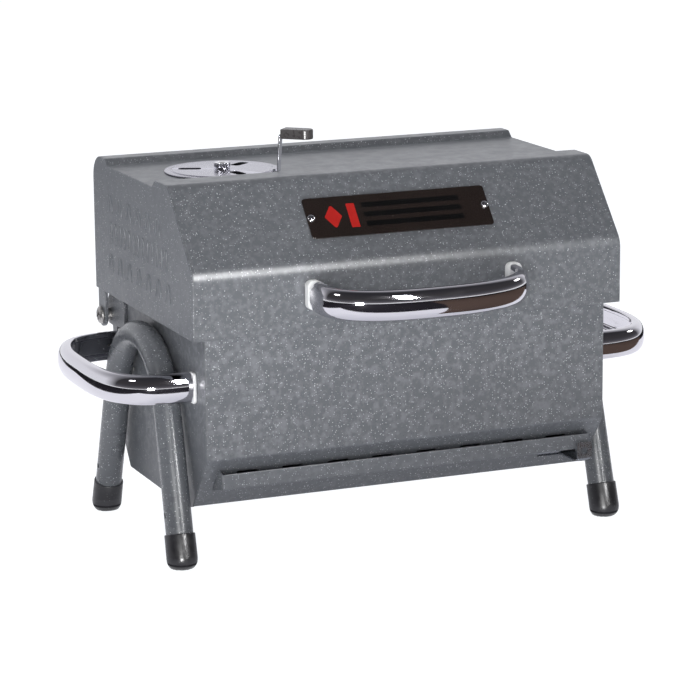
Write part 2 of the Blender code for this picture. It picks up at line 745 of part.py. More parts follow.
# ---------------------------------------------------------------- grids inside the firebox
GRATE_Z = 101.0
side_run = (BOX_KNEE - GRATE_Z) * CHAMFER_RUN / (BOX_KNEE - BOX_FLOOR)
grate_front = BOX_FRONT + side_run + 2.4
grate_back = BOX_BACK - side_run - 2.4
grate_mid = (grate_front + grate_back) / 2
grate_outline = rounded(386.0, grate_back - grate_front, 4.0, (0.0, grate_mid), 3)
grate = slab("charcoal_grate", grate_outline, GRATE_Z, GRATE_Z + 1.5, STEEL, axes="XYZ")
for row in range(4):
    for column in range(6):
        centre = ((column - 2.5) * 58.0, grate_mid + (row - 1.5) * 52.0)
        slot = rounded(42.0, 16.0, 5.0, centre, 1)
        cut(grate, cutter(slab("grate_cut_%d_%d" % (row, column), slot, 90.0, 120.0, None, axes="XYZ")))

RAIL_LOW, RAIL_HIGH = 196.0, 207.0
wall_front = BOX_FRONT + SHEET + CLEAR
wall_rear = BOX_BACK - SHEET - CLEAR
rail_front = [(wall_front, RAIL_LOW), (wall_front, RAIL_HIGH), (BOX_FRONT + 11.0, RAIL_HIGH)]
rail_rear = [(BOX_BACK - 11.0, RAIL_HIGH), (wall_rear, RAIL_HIGH), (wall_rear, RAIL_LOW)]
bent_sheet("grid_rail_front", [Vector(p) for p in rail_front], -SHEET, -193.0, 193.0, STEEL)
bent_sheet("grid_rail_rear", [Vector(p) for p in rail_rear], -SHEET, -193.0, 193.0, STEEL)

GRID_Z = RAIL_HIGH + CLEAR + 2.0
grid_x = 188.0
grid_y0 = BOX_FRONT + SHEET + 5.0
grid_y1 = BOX_BACK - SHEET - 5.0
ring = rounded(2 * grid_x, grid_y1 - grid_y0, 9.0, (0.0, (grid_y0 + grid_y1) / 2), 4)
ring = [Vector((p[0], p[1], GRID_Z)) for p in ring]


def ring_mesh(name, loop, radius, count, look):
    """Closed wire loop lying level."""
    mesh_bm = bmesh.new()
    rows = []
    total = len(loop)
    for i, spot in enumerate(loop):
        ahead = (loop[(i + 1) % total] - loop[i - 1]).normalized()
        side_dir = Vector((ahead.y, -ahead.x, 0.0))
        row = []
        for s, t in circle(radius, count):
            row.append(mesh_bm.verts.new(spot + side_dir * s + Vector((0.0, 0.0, t))))
        rows.append(row)
    for i in range(total):
        low, high = rows[i], rows[(i + 1) % total]
        for k in range(count):
            j = (k + 1) % count
            mesh_bm.faces.new((low[k], low[j], high[j], high[k]))
    return finish_mesh(name, mesh_bm, look)


cooking_grid = ring_mesh("cooking_grid", ring, 2.0, 8, CHROME)
for k in range(-9, 10):
    x = k * 18.8
    rod = [(0, -0.83), (1.45, -0.83), (1.45, grid_y1 - grid_y0 + 0.83), (0, grid_y1 - grid_y0 + 0.83)]
    tool = lathe("grid_rod_%d" % (k + 9), rod, 8, (x + 0.13, grid_y0, GRID_Z + 0.21), (0.0, 1.0, 0.0), None)
    cut(cooking_grid, cutter(tool), "UNION")

# ---------------------------------------------------------------- lid vent
VENT_AT = (VENT_X, VENT_Y, LID_PLATE)
disc_low = LID_PLATE + 1.2
disc = [
    (3.4, disc_low),
    (46.0, disc_low),
    (48.0, disc_low - 0.8),
    (VENT_R, disc_low - 0.8),
    (VENT_R, disc_low + 0.4),
    (48.4, disc_low + 0.4),
    (46.4, disc_low + 1.2),
    (3.4, disc_low + 1.2),
]
vent_disc = lathe("vent_disc", disc, 48, (VENT_X, VENT_Y, 0.0), (0, 0, 1), NICKEL, VENT_AT)
for tool in vent_cuts:
    cut(vent_disc, tool)

stud_low = LID_PLATE - SHEET - CLEAR
stud = [
    (0, stud_low - 2.4),
    (6.5, stud_low - 2.2),
    (6.5, stud_low),
    (3.0, stud_low),
    (3.0, disc_low + 6.6),
    (2.4, disc_low + 7.2),
    (0, disc_low + 7.2),
]
lathe("vent_stud", stud, 16, (VENT_X, VENT_Y, 0.0), (0, 0, 1), STEEL, VENT_AT)
washer_low = disc_low + 1.2 + CLEAR
washer = [(3.4, washer_low), (7.4, washer_low), (7.4, washer_low + 0.8), (3.4, washer_low + 0.8)]
lathe("vent_washer", washer, 18, (VENT_X, VENT_Y, 0.0), (0, 0, 1), NICKEL, VENT_AT)
nut_low = washer_low + 0.8 + CLEAR
lobes = []
for k in range(48):
    angle = 2 * math.pi * k / 48
    radius = 7.2 + 0.4 * math.cos(12 * angle)
    lobes.append((VENT_X + radius * math.cos(angle), VENT_Y + radius * math.sin(angle)))
vent_nut = slab("vent_nut", lobes, nut_low, nut_low + 4.4, NICKEL, VENT_AT, axes="XYZ")
cut(vent_nut, cutter(lathe("nut_cut", stud_hole, 16, (VENT_X, VENT_Y, 335), (0, 0, 1), None)))

LEVER_DEG = -42.0
LEVER_RISE = 34.5
radial = Vector((math.cos(math.radians(LEVER_DEG)), math.sin(math.radians(LEVER_DEG)), 0.0))
across = Vector((-radial.y, radial.x, 0.0))
vent_mid = Vector((VENT_X, VENT_Y, 0.0))
rim_top = disc_low + 0.4
lever_line = fillet(
    [(-50.2, 0.0), (-56.6, 0.0), (-58.9, LEVER_RISE), (-69.6, LEVER_RISE)],
    [1.2, 1.6],
    3,
)
lever_line = [Vector((-p.x, rim_top + CLEAR + p.y)) for p in lever_line]


def bent_strip(name, line, thickness, half, look, place):
    """Strip bent in the radial plane of the lever."""
    other = offset_line(line, thickness)
    mesh_bm = bmesh.new()
    rows = []
    for near, far_side in zip(line, other):
        row = []
        for point, width in ((near, -half), (near, half), (far_side, half), (far_side, -half)):
            spot = vent_mid + radial * point.x + across * width + Vector((0.0, 0.0, point.y))
            row.append(mesh_bm.verts.new(spot))
        rows.append(row)
    for low, high in zip(rows, rows[1:]):
        for i in range(4):
            j = (i + 1) % 4
            mesh_bm.faces.new((low[i], low[j], high[j], high[i]))
    mesh_bm.faces.new(rows[0])
    mesh_bm.faces.new(rows[-1])
    return finish_mesh(name, mesh_bm, look, place)


lever = bent_strip("vent_lever", lever_line, 1.2, 4.0, STEEL, VENT_AT)
rivet_spot = vent_mid + radial * 51.6
rivet_hole = [(0, disc_low - 4), (1.3, disc_low - 4), (1.3, disc_low + 8), (0, disc_low + 8)]
rivet_cut = cutter(lathe("rivet_cut", rivet_hole, 12, rivet_spot, (0, 0, 1), None))
cut(vent_disc, rivet_cut)
cut(lever, rivet_cut)
rivet_low = rim_top + CLEAR + 1.2 + CLEAR
rivet = [
    (0, disc_low - 0.6),
    (1.0, disc_low - 0.6),
    (1.0, rivet_low),
    (2.0, rivet_low),
    (1.5, rivet_low + 0.9),
    (0, rivet_low + 1.1),
]
lathe("vent_rivet", rivet, 12, rivet_spot, (0, 0, 1), NICKEL, VENT_AT)

# Grip: flat block with a rounded outer end, slotted for the lever.
GRIP_LOW = rim_top + CLEAR + LEVER_RISE - 3.0
GRIP_HIGH = GRIP_LOW + 9.0
grip_outline = [(60.6, -7.5), (60.6, 7.5)]
for k in range(9):
    angle = math.pi / 2 - math.pi * k / 8
    grip_outline.append((82.1 + 7.5 * math.cos(angle), 7.5 * math.sin(angle)))


def beside_lever(outline):
    """Outline in (radial, across) about the vent's middle, turned into X and Y."""
    return [(vent_mid + radial * u + across * v).xy for u, v in outline]


grip = slab("vent_grip", beside_lever(grip_outline), GRIP_LOW, GRIP_HIGH, PLASTIC, VENT_AT, axes="XYZ")
slot = beside_lever([(58.6, -4.4), (58.6, 4.4), (70.2, 4.4), (70.2, -4.4)])
slot_low = rim_top + CLEAR + LEVER_RISE - 0.4
cut(grip, cutter(slab("grip_slot", slot, slot_low, slot_low + 2.0, None, axes="XYZ")))
soften(grip, 1.0, 2)


# ---------------------------------------------------------------- moving bodies
def pivot(name, place, starts):
    """Empty on a joint's axis that carries every piece whose name starts with one of `starts`."""
    empty = bpy.data.objects.new(name, None)
    empty.location = (Vector(place) + Vector((0.0, Y_SHIFT, -FLOOR_Z))) * MM
    GRILL.objects.link(empty)
    bpy.context.view_layer.update()
    for piece in list(GRILL.objects):
        if piece.type == "MESH" and piece.name.startswith(starts):
            piece.parent = empty
            piece.matrix_parent_inverse = empty.matrix_world.inverted()
    return empty


ON_LID = ("lid_", "nameplate", "front_", "hinge_bracket", "vent_stud")
ON_VENT = ("vent_disc", "vent_washer", "vent_nut", "vent_lever", "vent_rivet", "vent_grip")
lid_pivot = pivot("lid_pivot", (0.0, PIN_Y, PIN_Z), ON_LID)
vent_pivot = pivot("vent_pivot", VENT_AT, ON_VENT)
vent_pivot.parent = lid_pivot
vent_pivot.matrix_parent_inverse = lid_pivot.matrix_world.inverted()
pivot("slide_pivot", SLIDE_AT, ("air_slide",))
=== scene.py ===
"""Looks of the portable tabletop charcoal grill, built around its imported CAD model.

Shapes are worked out in millimetres in the model's frame (+Z up, -Y the front) and written in metres.
"""

import math

import bmesh
import bpy
from mathutils import Matrix, Vector


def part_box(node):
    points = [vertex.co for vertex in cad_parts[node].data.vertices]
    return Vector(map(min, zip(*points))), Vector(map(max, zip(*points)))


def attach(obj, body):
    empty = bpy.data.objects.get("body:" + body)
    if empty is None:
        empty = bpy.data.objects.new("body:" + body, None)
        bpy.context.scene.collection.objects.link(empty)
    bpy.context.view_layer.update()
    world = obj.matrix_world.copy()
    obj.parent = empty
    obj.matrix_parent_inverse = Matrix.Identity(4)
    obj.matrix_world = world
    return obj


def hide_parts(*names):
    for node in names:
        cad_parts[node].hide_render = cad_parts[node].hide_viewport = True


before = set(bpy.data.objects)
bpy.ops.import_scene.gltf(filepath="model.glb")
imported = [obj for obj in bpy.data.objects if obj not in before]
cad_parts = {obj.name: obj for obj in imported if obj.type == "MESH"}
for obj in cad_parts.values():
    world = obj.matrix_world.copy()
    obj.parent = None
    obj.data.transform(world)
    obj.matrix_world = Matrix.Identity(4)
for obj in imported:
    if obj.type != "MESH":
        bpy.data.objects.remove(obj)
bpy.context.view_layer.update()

MM = 0.001
SIDES = (("left", -1), ("right", 1))
ENDS = ("front", "rear")
X, Y, Z = Vector((1.0, 0.0, 0.0)), Vector((0.0, 1.0, 0.0)), Vector((0.0, 0.0, 1.0))


def box(node):
    """A CAD node's lowest and highest corners, in millimetres."""
    low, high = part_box(node)
    return low / MM, high / MM


# ================================================================ shape helpers
def fillet(points, radii, segments=10):
    """Open polyline in 2D with each inner corner rounded to its radius."""
    result = [Vector(points[0])]
    for i in range(1, len(points) - 1):
        corner = Vector(points[i])
        back = (Vector(points[i - 1]) - corner).normalized()
        ahead = (Vector(points[i + 1]) - corner).normalized()
        radius = radii[i - 1]
        half = back.angle(ahead) / 2
        if radius <= 0 or half > math.pi / 2 - 0.01:
            result.append(corner)
            continue
        reach = radius / math.tan(half)
        middle = corner + (back + ahead).normalized() * (radius / math.sin(half))
        start = corner + back * reach - middle
        turn = start.angle_signed(corner + ahead * reach - middle)
        for k in range(segments + 1):
            result.append(middle + Matrix.Rotation(-turn * k / segments, 2) @ start)
    result.append(Vector(points[-1]))
    return result


def closed_fillet(points, radii, segments=6):
    """Closed polygon in 2D with each corner rounded."""
    count = len(points)
    result = []
    for i in range(count):
        trio = [points[i - 1], points[i], points[(i + 1) % count]]
        result += fillet(trio, [radii[i]], segments)[1:-1]
    return result


def rounded(width, height, radius, middle=(0.0, 0.0), segments=6):
    a, b = width / 2, height / 2
    u, v = middle
    corners = [(u - a, v - b), (u + a, v - b), (u + a, v + b), (u - a, v + b)]
    return closed_fillet(corners, [radius] * 4, segments)


def offset_line(points, distance):
    """The polyline moved to its left when distance is positive."""
    result = []
    for i, point in enumerate(points):
        before = points[i] - points[i - 1] if i > 0 else points[1] - points[0]
        after = points[i + 1] - points[i] if i < len(points) - 1 else before
        before, after = before.normalized(), after.normalized()
        left = Vector((-before.y, before.x))
        mean = (left + Vector((-after.y, after.x))).normalized()
        result.append(point + mean * (distance / max(0.3, mean.dot(left))))
    return result


def circle(radius, count):
    angles = [2 * math.pi * k / count for k in range(count)]
    return [(radius * math.cos(a), radius * math.sin(a)) for a in angles]


def turn_to(axis):
    """Rotation that takes +Z onto the axis."""
    return Z.rotation_difference(Vector(axis).normalized()).to_matrix().to_4x4()


def moved(grown, made, shift):
    """Shifts the vertices that an extrusion has just made."""
    fresh = [item for item in grown["geom"] if isinstance(item, bmesh.types.BMVert)]
    bmesh.ops.translate(made, verts=fresh, vec=shift)


def slab(outline, depth0, depth1, axes="YZX"):
    """A flat outline in the first two axes, extruded along the third."""
    slots = ["XYZ".index(letter) for letter in axes]
    made = bmesh.new()
    corners = []
    for point in outline:
        spot = Vector()
        spot[slots[0]], spot[slots[1]], spot[slots[2]] = point[0], point[1], depth0
        corners.append(made.verts.new(spot))
    flat = made.faces.new(corners)
    grown = bmesh.ops.extrude_face_region(made, geom=[flat], use_keep_orig=True)
    shift = Vector()
    shift[slots[2]] = depth1 - depth0
    moved(grown, made, shift)
    return made


def lathe(profile, steps, base, axis):
    """Profile of (radius, height) pairs turned about the axis through base."""
    made = bmesh.new()
    row = [made.verts.new((radius, 0.0, height)) for radius, height in profile]
    edges = [made.edges.new(pair) for pair in zip(row, row[1:])]
    if profile[0][0] > 0 and profile[-1][0] > 0:
        edges.append(made.edges.new((row[-1], row[0])))
    geom = row + edges
    bmesh.ops.spin(made, geom=geom, axis=Z, angle=2 * math.pi, steps=steps, use_merge=True)
    stand = Matrix.Translation(base) @ turn_to(axis)
    bmesh.ops.transform(made, matrix=stand, verts=made.verts)
    return made


def sweep(spots, sides, ups, section, hole=None):
    """Section (side, up) carried along spots; with a hole section, a tube with open ends."""
    made = bmesh.new()

    def rows_of(shape):
        rows = []
        for spot, side, up in zip(spots, sides, ups):
            rows.append([made.verts.new(spot + side * s + up * t) for s, t in shape])
        return rows

    def skin(rows):
        count = len(rows[0])
        for low, high in zip(rows, rows[1:]):
            for i in range(count):
                j = (i + 1) % count
                made.faces.new((low[i], low[j], high[j], high[i]))

    outer = rows_of(section)
    skin(outer)
    if hole is None:
        made.faces.new(outer[0])
        made.faces.new(outer[-1])
        return made
    inner = rows_of(hole)
    skin(inner)
    count = len(section)
    for out_row, in_row in ((outer[0], inner[0]), (outer[-1], inner[-1])):
        for i in range(count):
            j = (i + 1) % count
            made.faces.new((out_row[i], out_row[j], in_row[j], in_row[i]))
    return made


def join(*parts):
    """Several bmeshes as one."""
    made = bmesh.new()
    for part in parts:
        mesh = bpy.data.meshes.new("part")
        part.to_mesh(mesh)
        part.free()
        made.from_mesh(mesh)
        bpy.data.meshes.remove(mesh)
    return made


def to_object(name, made):
    """Turns a bmesh in millimetres into an object in metres, its faces pointing outwards."""
    bmesh.ops.remove_doubles(made, verts=made.verts, dist=1e-4)
    bmesh.ops.recalc_face_normals(made, faces=made.faces)
    bmesh.ops.scale(made, vec=(MM, MM, MM), verts=made.verts)
    mesh = bpy.data.meshes.new(name)
    made.to_mesh(mesh)
    made.free()
    obj = bpy.data.objects.new(name, mesh)
    bpy.context.scene.collection.objects.link(obj)
    return obj


def apply_modifiers(obj):
    graph = bpy.context.evaluated_depsgraph_get()
    mesh = bpy.data.meshes.new_from_object(obj.evaluated_get(graph))
    old = obj.data
    obj.modifiers.clear()
    obj.data = mesh
    bpy.data.meshes.remove(old)


def carve(obj, *tools):
    """Cuts bmeshes in millimetres out of the object."""
    for made in tools:
        tool = to_object("tool", made)
        step = obj.modifiers.new("cut", "BOOLEAN")
        step.operation = "DIFFERENCE"
        step.object = tool
        step.solver = "EXACT"
        apply_modifiers(obj)
        bpy.data.objects.remove(tool)


def piece(name, made, look, body, nodes=(), cuts=(), bevel=0.0, segments=3, smooth=35):
    """One finished piece: cut, edges rounded, shaded, in its material, riding on its body."""
    obj = to_object(name, made)
    carve(obj, *cuts)
    if bevel:
        step = obj.modifiers.new("edges", "BEVEL")
        step.width = bevel * MM
        step.segments = segments
        step.limit_method = "ANGLE"
        step.angle_limit = math.radians(40)
        apply_modifiers(obj)
    obj.data.shade_smooth()
    obj.data.set_sharp_from_angle(angle=math.radians(smooth))
    if bevel:
        step = obj.modifiers.new("face normals", "WEIGHTED_NORMAL")
        step.keep_sharp = True
        apply_modifiers(obj)
    obj.data.materials.clear()
    obj.data.materials.append(look)
    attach(obj, body)
    if nodes:
        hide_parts(*nodes)
    return obj


def dress(look, *nodes):
    """Gives CAD nodes whose shape is already right their material."""
    for node in nodes:
        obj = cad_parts[node]
        obj.data.materials.clear()
        obj.data.materials.append(look)
        obj.data.shade_smooth()
        obj.data.set_sharp_from_angle(angle=math.radians(35))


# ================================================================ materials
class Look:
    """A Principled material under construction, on object coordinates in metres."""

    def __init__(self, name, slot, colour, roughness, metallic=0.0):
        self.made = bpy.data.materials.new(name)
        self.made.use_nodes = True
        self.made["slot"] = slot
        self.tree = self.made.node_tree
        self.shader = self.tree.nodes["Principled BSDF"]
        self.place = self.add("ShaderNodeTexCoord").outputs["Object"]
        self.set("Base Color", (*colour, 1.0))
        self.set("Roughness", roughness)
        self.set("Metallic", metallic)

    def set(self, socket, value):
        self.shader.inputs[socket].default_value = value

    def add(self, kind, **settings):
        made = self.tree.nodes.new(kind)
        for key, value in settings.items():
            setattr(made, key, value)
        return made

    def link(self, source, target):
        self.tree.links.new(source, target)

    def feed(self, source, socket):
        self.link(source, self.shader.inputs[socket])

    def noise(self, scale, detail=2.0, rough=0.5, stretch=(1.0, 1.0, 1.0)):
        """Noise from 0 to 1, `scale` features to the metre."""
        made = self.add("ShaderNodeTexNoise")
        made.inputs["Scale"].default_value = scale
        made.inputs["Detail"].default_value = detail
        made.inputs["Roughness"].default_value = rough
        place = self.place
        if stretch != (1.0, 1.0, 1.0):
            mapping = self.add("ShaderNodeMapping")
            mapping.inputs["Scale"].default_value = stretch
            self.link(self.place, mapping.inputs["Vector"])
            place = mapping.outputs["Vector"]
        self.link(place, made.inputs["Vector"])
        return made.outputs["Fac"]

    def cells(self, scale):
        """Voronoi cells: (distance from each cell's point, random red, random green)."""
        made = self.add("ShaderNodeTexVoronoi")
        made.inputs["Scale"].default_value = scale
        self.link(self.place, made.inputs["Vector"])
        parts = self.add("ShaderNodeSeparateColor")
        self.link(made.outputs["Color"], parts.inputs["Color"])
        return made.outputs["Distance"], parts.outputs["Red"], parts.outputs["Green"]

    def ramp(self, source, low, high, out_low=0.0, out_high=1.0):
        """Maps low..high smoothly onto out_low..out_high, clamped."""
        made = self.add("ShaderNodeMapRange", interpolation_type="SMOOTHSTEP")
        made.inputs["From Min"].default_value = low
        made.inputs["From Max"].default_value = high
        made.inputs["To Min"].default_value = out_low
        made.inputs["To Max"].default_value = out_high
        self.link(source, made.inputs["Value"])
        return made.outputs["Result"]

    def math(self, operation, first, second):
        made = self.add("ShaderNodeMath", operation=operation)
        for slot, value in enumerate((first, second)):
            if isinstance(value, (int, float)):
                made.inputs[slot].default_value = value
            else:
                self.link(value, made.inputs[slot])
        return made.outputs["Value"]

    def mix(self, factor, first, second):
        """Colour mix; first and second are colours or sockets."""
        made = self.add("ShaderNodeMix", data_type="RGBA")
        self.link(factor, made.inputs["Factor"])
        for slot, value in ((6, first), (7, second)):
            if isinstance(value, tuple):
                made.inputs[slot].default_value = (*value, 1.0)
            else:
                self.link(value, made.inputs[slot])
        return made.outputs[2]

    def bump(self, height, strength, distance):
        """Adds a bump of `distance` metres under whatever bump is there already."""
        made = self.add("ShaderNodeBump")
        made.inputs["Strength"].default_value = strength
        made.inputs["Distance"].default_value = distance
        self.link(height, made.inputs["Height"])
        socket = self.shader.inputs["Normal"]
        if socket.is_linked:
            self.link(socket.links[0].from_socket, made.inputs["Normal"])
        self.link(made.outputs["Normal"], socket)

    def edges(self):
        """1 along convex edges, 0 elsewhere."""
        return self.ramp(self.add("ShaderNodeNewGeometry").outputs["Pointiness"], 0.51, 0.56)


def specks(look, size, radius, share):
    """Round flecks: `size` metres between cells, `radius` of a cell, in `share` of the cells."""
    distance, chance, strength = look.cells(1.0 / size)
    dot = look.ramp(distance, radius, radius * 0.75)
    kept = look.ramp(chance, 1.0 - share, 1.0 - share + 0.02)
    spread = look.ramp(strength, 0.0, 1.0, 0.35, 1.0)
    return look.math("MULTIPLY", look.math("MULTIPLY", dot, kept), spread)


def speckled_coat(name, base, roughness, clear=0.0, fade=False):
    """Grey powder coat full of pale flecks, with a slight orange peel and lighter convex edges, partly
    rubbed wear and partly a painted highlight.

    With fade the flecks thin out on level and on upright faces: painted light, copying how the light makes
    them glint on the lid's slope and washes them out on its top and skirt.
    """
    look = Look(name, "speckled_coat", base, roughness)
    shade = tuple(0.92 * c for c in base)
    light = tuple(min(1.0, 1.08 * c) for c in base)
    tone = look.mix(look.noise(6.0, 1.0), shade, light)
    dark = look.math("MULTIPLY", specks(look, 0.0022, 0.25, 0.45), 0.5)
    fine = look.math("MULTIPLY", specks(look, 0.0019, 0.26, 0.42), 0.85)
    big = look.math("MULTIPLY", specks(look, 0.0029, 0.18, 0.45), 0.9)
    if fade:
        # Painted light: the flecks are thinned out on level and upright faces, copying how they catch the
        # light.
        parts = look.add("ShaderNodeSeparateXYZ")
        look.link(look.add("ShaderNodeNewGeometry").outputs["True Normal"], parts.inputs["Vector"])
        level = look.ramp(parts.outputs["Z"], 0.74, 0.92, 1.0, 0.05)
        upright = look.ramp(parts.outputs["Z"], 0.05, 0.55, 0.42, 1.0)
        kept = look.math("MULTIPLY", level, upright)
        dark = look.math("MULTIPLY", dark, kept)
        fine = look.math("MULTIPLY", fine, kept)
        big = look.math("MULTIPLY", big, look.ramp(kept, 0.1, 0.6, 0.10, 1.0))
    colour = look.mix(dark, tone, tuple(0.45 * c for c in base))
    colour = look.mix(fine, colour, (0.60, 0.62, 0.64))
    colour = look.mix(big, colour, (0.86, 0.88, 0.90))
    # Convex edges lightened in patches: partly rubbed wear, partly a painted highlight along the edges.
    edge_wear_and_highlight = look.math("MULTIPLY", look.edges(), look.ramp(look.noise(180.0, 3.0), 0.4, 0.7, 0.0, 0.3))
    look.feed(look.mix(edge_wear_and_highlight, colour, (0.38, 0.39, 0.41)), "Base Color")
    scuffs = look.ramp(look.noise(60.0, 4.0), 0.3, 0.7, roughness - 0.03, roughness + 0.04)
    look.feed(scuffs, "Roughness")
    look.set("Coat Weight", clear)
    look.set("Coat Roughness", 0.14)
    look.bump(look.noise(700.0, 2.0), 0.06, 0.0001)
    look.bump(big, 0.2, 0.0001)
    return look.made


def chrome_plate():
    """Polished chrome with faint wipe marks and dust."""
    look = Look("chrome_plate", "chrome", (0.66, 0.65, 0.69), 0.05, 1.0)
    wipes = look.noise(30.0, 4.0, 0.6, (1.0, 1.0, 6.0))
    look.feed(look.ramp(wipes, 0.35, 0.75, 0.035, 0.11), "Roughness")
    tint = look.mix(look.noise(12.0, 2.0), (0.63, 0.62, 0.66), (0.70, 0.69, 0.73))
    dust = look.math("MULTIPLY", specks(look, 0.0045, 0.1, 0.3), 0.5)
    look.feed(look.mix(dust, tint, (0.6, 0.6, 0.62)), "Base Color")
    look.bump(look.noise(45.0, 2.0), 0.05, 0.0004)
    return look.made


def plated(name, slot, base, rough):
    """Nickel or zinc plate: fine brushing, mottled tone, and a painted highlight that brightens the edges.
    """
    look = Look(name, slot, base, rough, 1.0)
    shade = tuple(0.82 * c for c in base)
    tone = look.mix(look.noise(60.0, 4.0), shade, base)
    # Painted highlight: the edges are made brighter in the colour.
    edge_highlight = tuple(min(1.0, 1.25 * c) for c in base)
    look.feed(look.mix(look.edges(), tone, edge_highlight), "Base Color")
    brush = look.noise(900.0, 2.0)
    look.feed(look.ramp(brush, 0.3, 0.7, rough * 0.75, rough * 1.3), "Roughness")
    look.bump(brush, 0.1, 0.00006)
    return look.made


def rubber_black():
    """Moulded black rubber with dust in its pores and a slight painted sheen at the rims."""
    look = Look("rubber_black", "rubber", (0.025, 0.025, 0.028), 0.45)
    tone = look.mix(look.noise(90.0, 4.0), (0.008, 0.008, 0.010), (0.022, 0.021, 0.025))
    dust = look.math("MULTIPLY", specks(look, 0.0022, 0.25, 0.25), 0.35)
    # Painted sheen: the rims are made lighter in the colour.
    painted_edge_sheen = look.math("MULTIPLY", look.edges(), 0.4)
    dusty = look.mix(dust, tone, (0.25, 0.25, 0.25))
    look.feed(look.mix(painted_edge_sheen, dusty, (0.10, 0.10, 0.11)), "Base Color")
    look.feed(look.ramp(look.noise(140.0, 3.0), 0.3, 0.7, 0.28, 0.42), "Roughness")
    look.bump(look.noise(1400.0, 2.0), 0.2, 0.00008)
    return look.made


def white_plastic():
    """Natural white moulded plastic."""
    look = Look("white_plastic", "white_plastic", (0.78, 0.79, 0.79), 0.45)
    tone = look.mix(look.noise(70.0, 3.0), (0.86, 0.87, 0.87), (0.93, 0.93, 0.93))
    look.feed(tone, "Base Color")
    look.feed(look.ramp(look.noise(200.0, 2.0), 0.3, 0.7, 0.38, 0.55), "Roughness")
    look.set("Subsurface Weight", 0.08)
    look.set("Subsurface Radius", (0.002, 0.002, 0.002))
    look.bump(look.noise(900.0, 2.0), 0.15, 0.00006)
    return look.made


def grip_plastic():
    """Dark heat-proof plastic with a fine moulded grain."""
    look = Look("grip_plastic", "grip_plastic", (0.075, 0.068, 0.068), 0.42)
    tone = look.mix(look.noise(120.0, 4.0), (0.036, 0.032, 0.033), (0.066, 0.060, 0.060))
    # Painted sheen: the edges are made lighter in the colour.
    painted_edge_sheen = look.math("MULTIPLY", look.edges(), 0.35)
    look.feed(look.mix(painted_edge_sheen, tone, (0.22, 0.21, 0.21)), "Base Color")
    look.feed(look.ramp(look.noise(300.0, 3.0), 0.3, 0.7, 0.24, 0.36), "Roughness")
    look.bump(look.noise(2200.0, 2.0), 0.25, 0.00008)
    return look.made


def gloss_enamel(name, base):
    """Glossy enamel with a slight orange peel and a few dust specks."""
    look = Look(name, "nameplate", base, 0.16)
    shade = tuple(0.8 * c for c in base)
    tone = look.mix(look.noise(40.0, 3.0), shade, tuple(1.2 * c for c in base))
    dust = look.math("MULTIPLY", specks(look, 0.006, 0.07, 0.2), 0.3)
    look.feed(look.mix(dust, tone, (0.4, 0.4, 0.4)), "Base Color")
    look.feed(look.ramp(look.noise(35.0, 4.0), 0.35, 0.7, 0.10, 0.20), "Roughness")
    look.set("Coat Weight", 0.5)
    look.set("Coat Roughness", 0.05)
    look.bump(look.noise(260.0, 2.0), 0.08, 0.0001)
    return look.made


COAT = speckled_coat("speckled_coat", (0.134, 0.142, 0.158), 0.36)
LID_COAT = speckled_coat("lid_coat", (0.130, 0.138, 0.152), 0.34, fade=True)
TUBE_COAT = speckled_coat("tube_coat", (0.132, 0.140, 0.154), 0.28, clear=0.06)
CHROME = chrome_plate()
NICKEL = plated("vent_nickel", "nickel", (0.45, 0.44, 0.50), 0.22)
BRIGHT = plated("bright_nickel", "nickel", (0.74, 0.74, 0.78), 0.12)
DULL = plated("dull_nickel", "nickel", (0.21, 0.22, 0.24), 0.30)
ZINC = plated("zinc_screw", "plain_steel", (0.42, 0.41, 0.40), 0.34)
GRATE = plated("grate_steel", "grate_steel", (0.24, 0.23, 0.22), 0.42)
GRID_CHROME = plated("grid_chrome", "chrome", (0.62, 0.61, 0.60), 0.16)
RUBBER = rubber_black()
WHITE = white_plastic()
GRIP = grip_plastic()
PLATE = gloss_enamel("plate_enamel", (0.020, 0.014, 0.012))
ACCENT = gloss_enamel("accent_enamel", (0.50, 0.022, 0.018))
INSET = gloss_enamel("inset_enamel", (0.004, 0.004, 0.004))

# ================================================================ lid
SHEET = 1.2
lid_low, lid_high = box("lid_wrap")
END_OUT = box("lid_end_right")[1].x
SLOPE = math.radians(48.7)
PLATE_Z = lid_high.z - 6.7
REAR_Z = lid_high.z - 0.5
REAR_RIDGE, REAR_FOOT = 37.0, 44.0  # in front of the rear wall
RIDGE_FRONT, RIDGE_REAR, RIDGE_FOOT = 62.7, 96.2, 104.7  # behind the skirt
KNEE_Z = lid_high.z - math.tan(SLOPE) * RIDGE_FRONT
HEM, HEM_HEIGHT, HEM_BEVEL = 2.3, 8.0, 0.6

lid_outer = [
    (lid_high.y, lid_low.z),
    (lid_high.y, REAR_Z),
    (lid_high.y - REAR_RIDGE, REAR_Z),
    (lid_high.y - REAR_FOOT, PLATE_Z),
    (lid_low.y + RIDGE_FOOT, PLATE_Z),
    (lid_low.y + RIDGE_REAR, lid_high.z),
    (lid_low.y + RIDGE_FRONT, lid_high.z),
    (lid_low.y, KNEE_Z),
    (lid_low.y, lid_low.z),
]
LID_RADII = [22.0, 3.5, 3.5, 4.0, 6.0, 14.0, 20.0]
lid_line = fillet(lid_outer, LID_RADII, 12)
lid_inner = offset_line(lid_line, SHEET)
hem = [
    Vector((lid_low.y, lid_low.z + HEM_BEVEL)),
    Vector((lid_low.y + HEM_BEVEL, lid_low.z)),
    Vector((lid_low.y + HEM - HEM_BEVEL, lid_low.z)),
    Vector((lid_low.y + HEM, lid_low.z + HEM_BEVEL)),
    Vector((lid_low.y + HEM, lid_low.z + HEM_HEIGHT)),
    Vector((lid_low.y + SHEET, lid_low.z + HEM_HEIGHT + HEM_BEVEL)),
]
lid_section = lid_line[:-1] + hem + lid_inner[-2::-1]

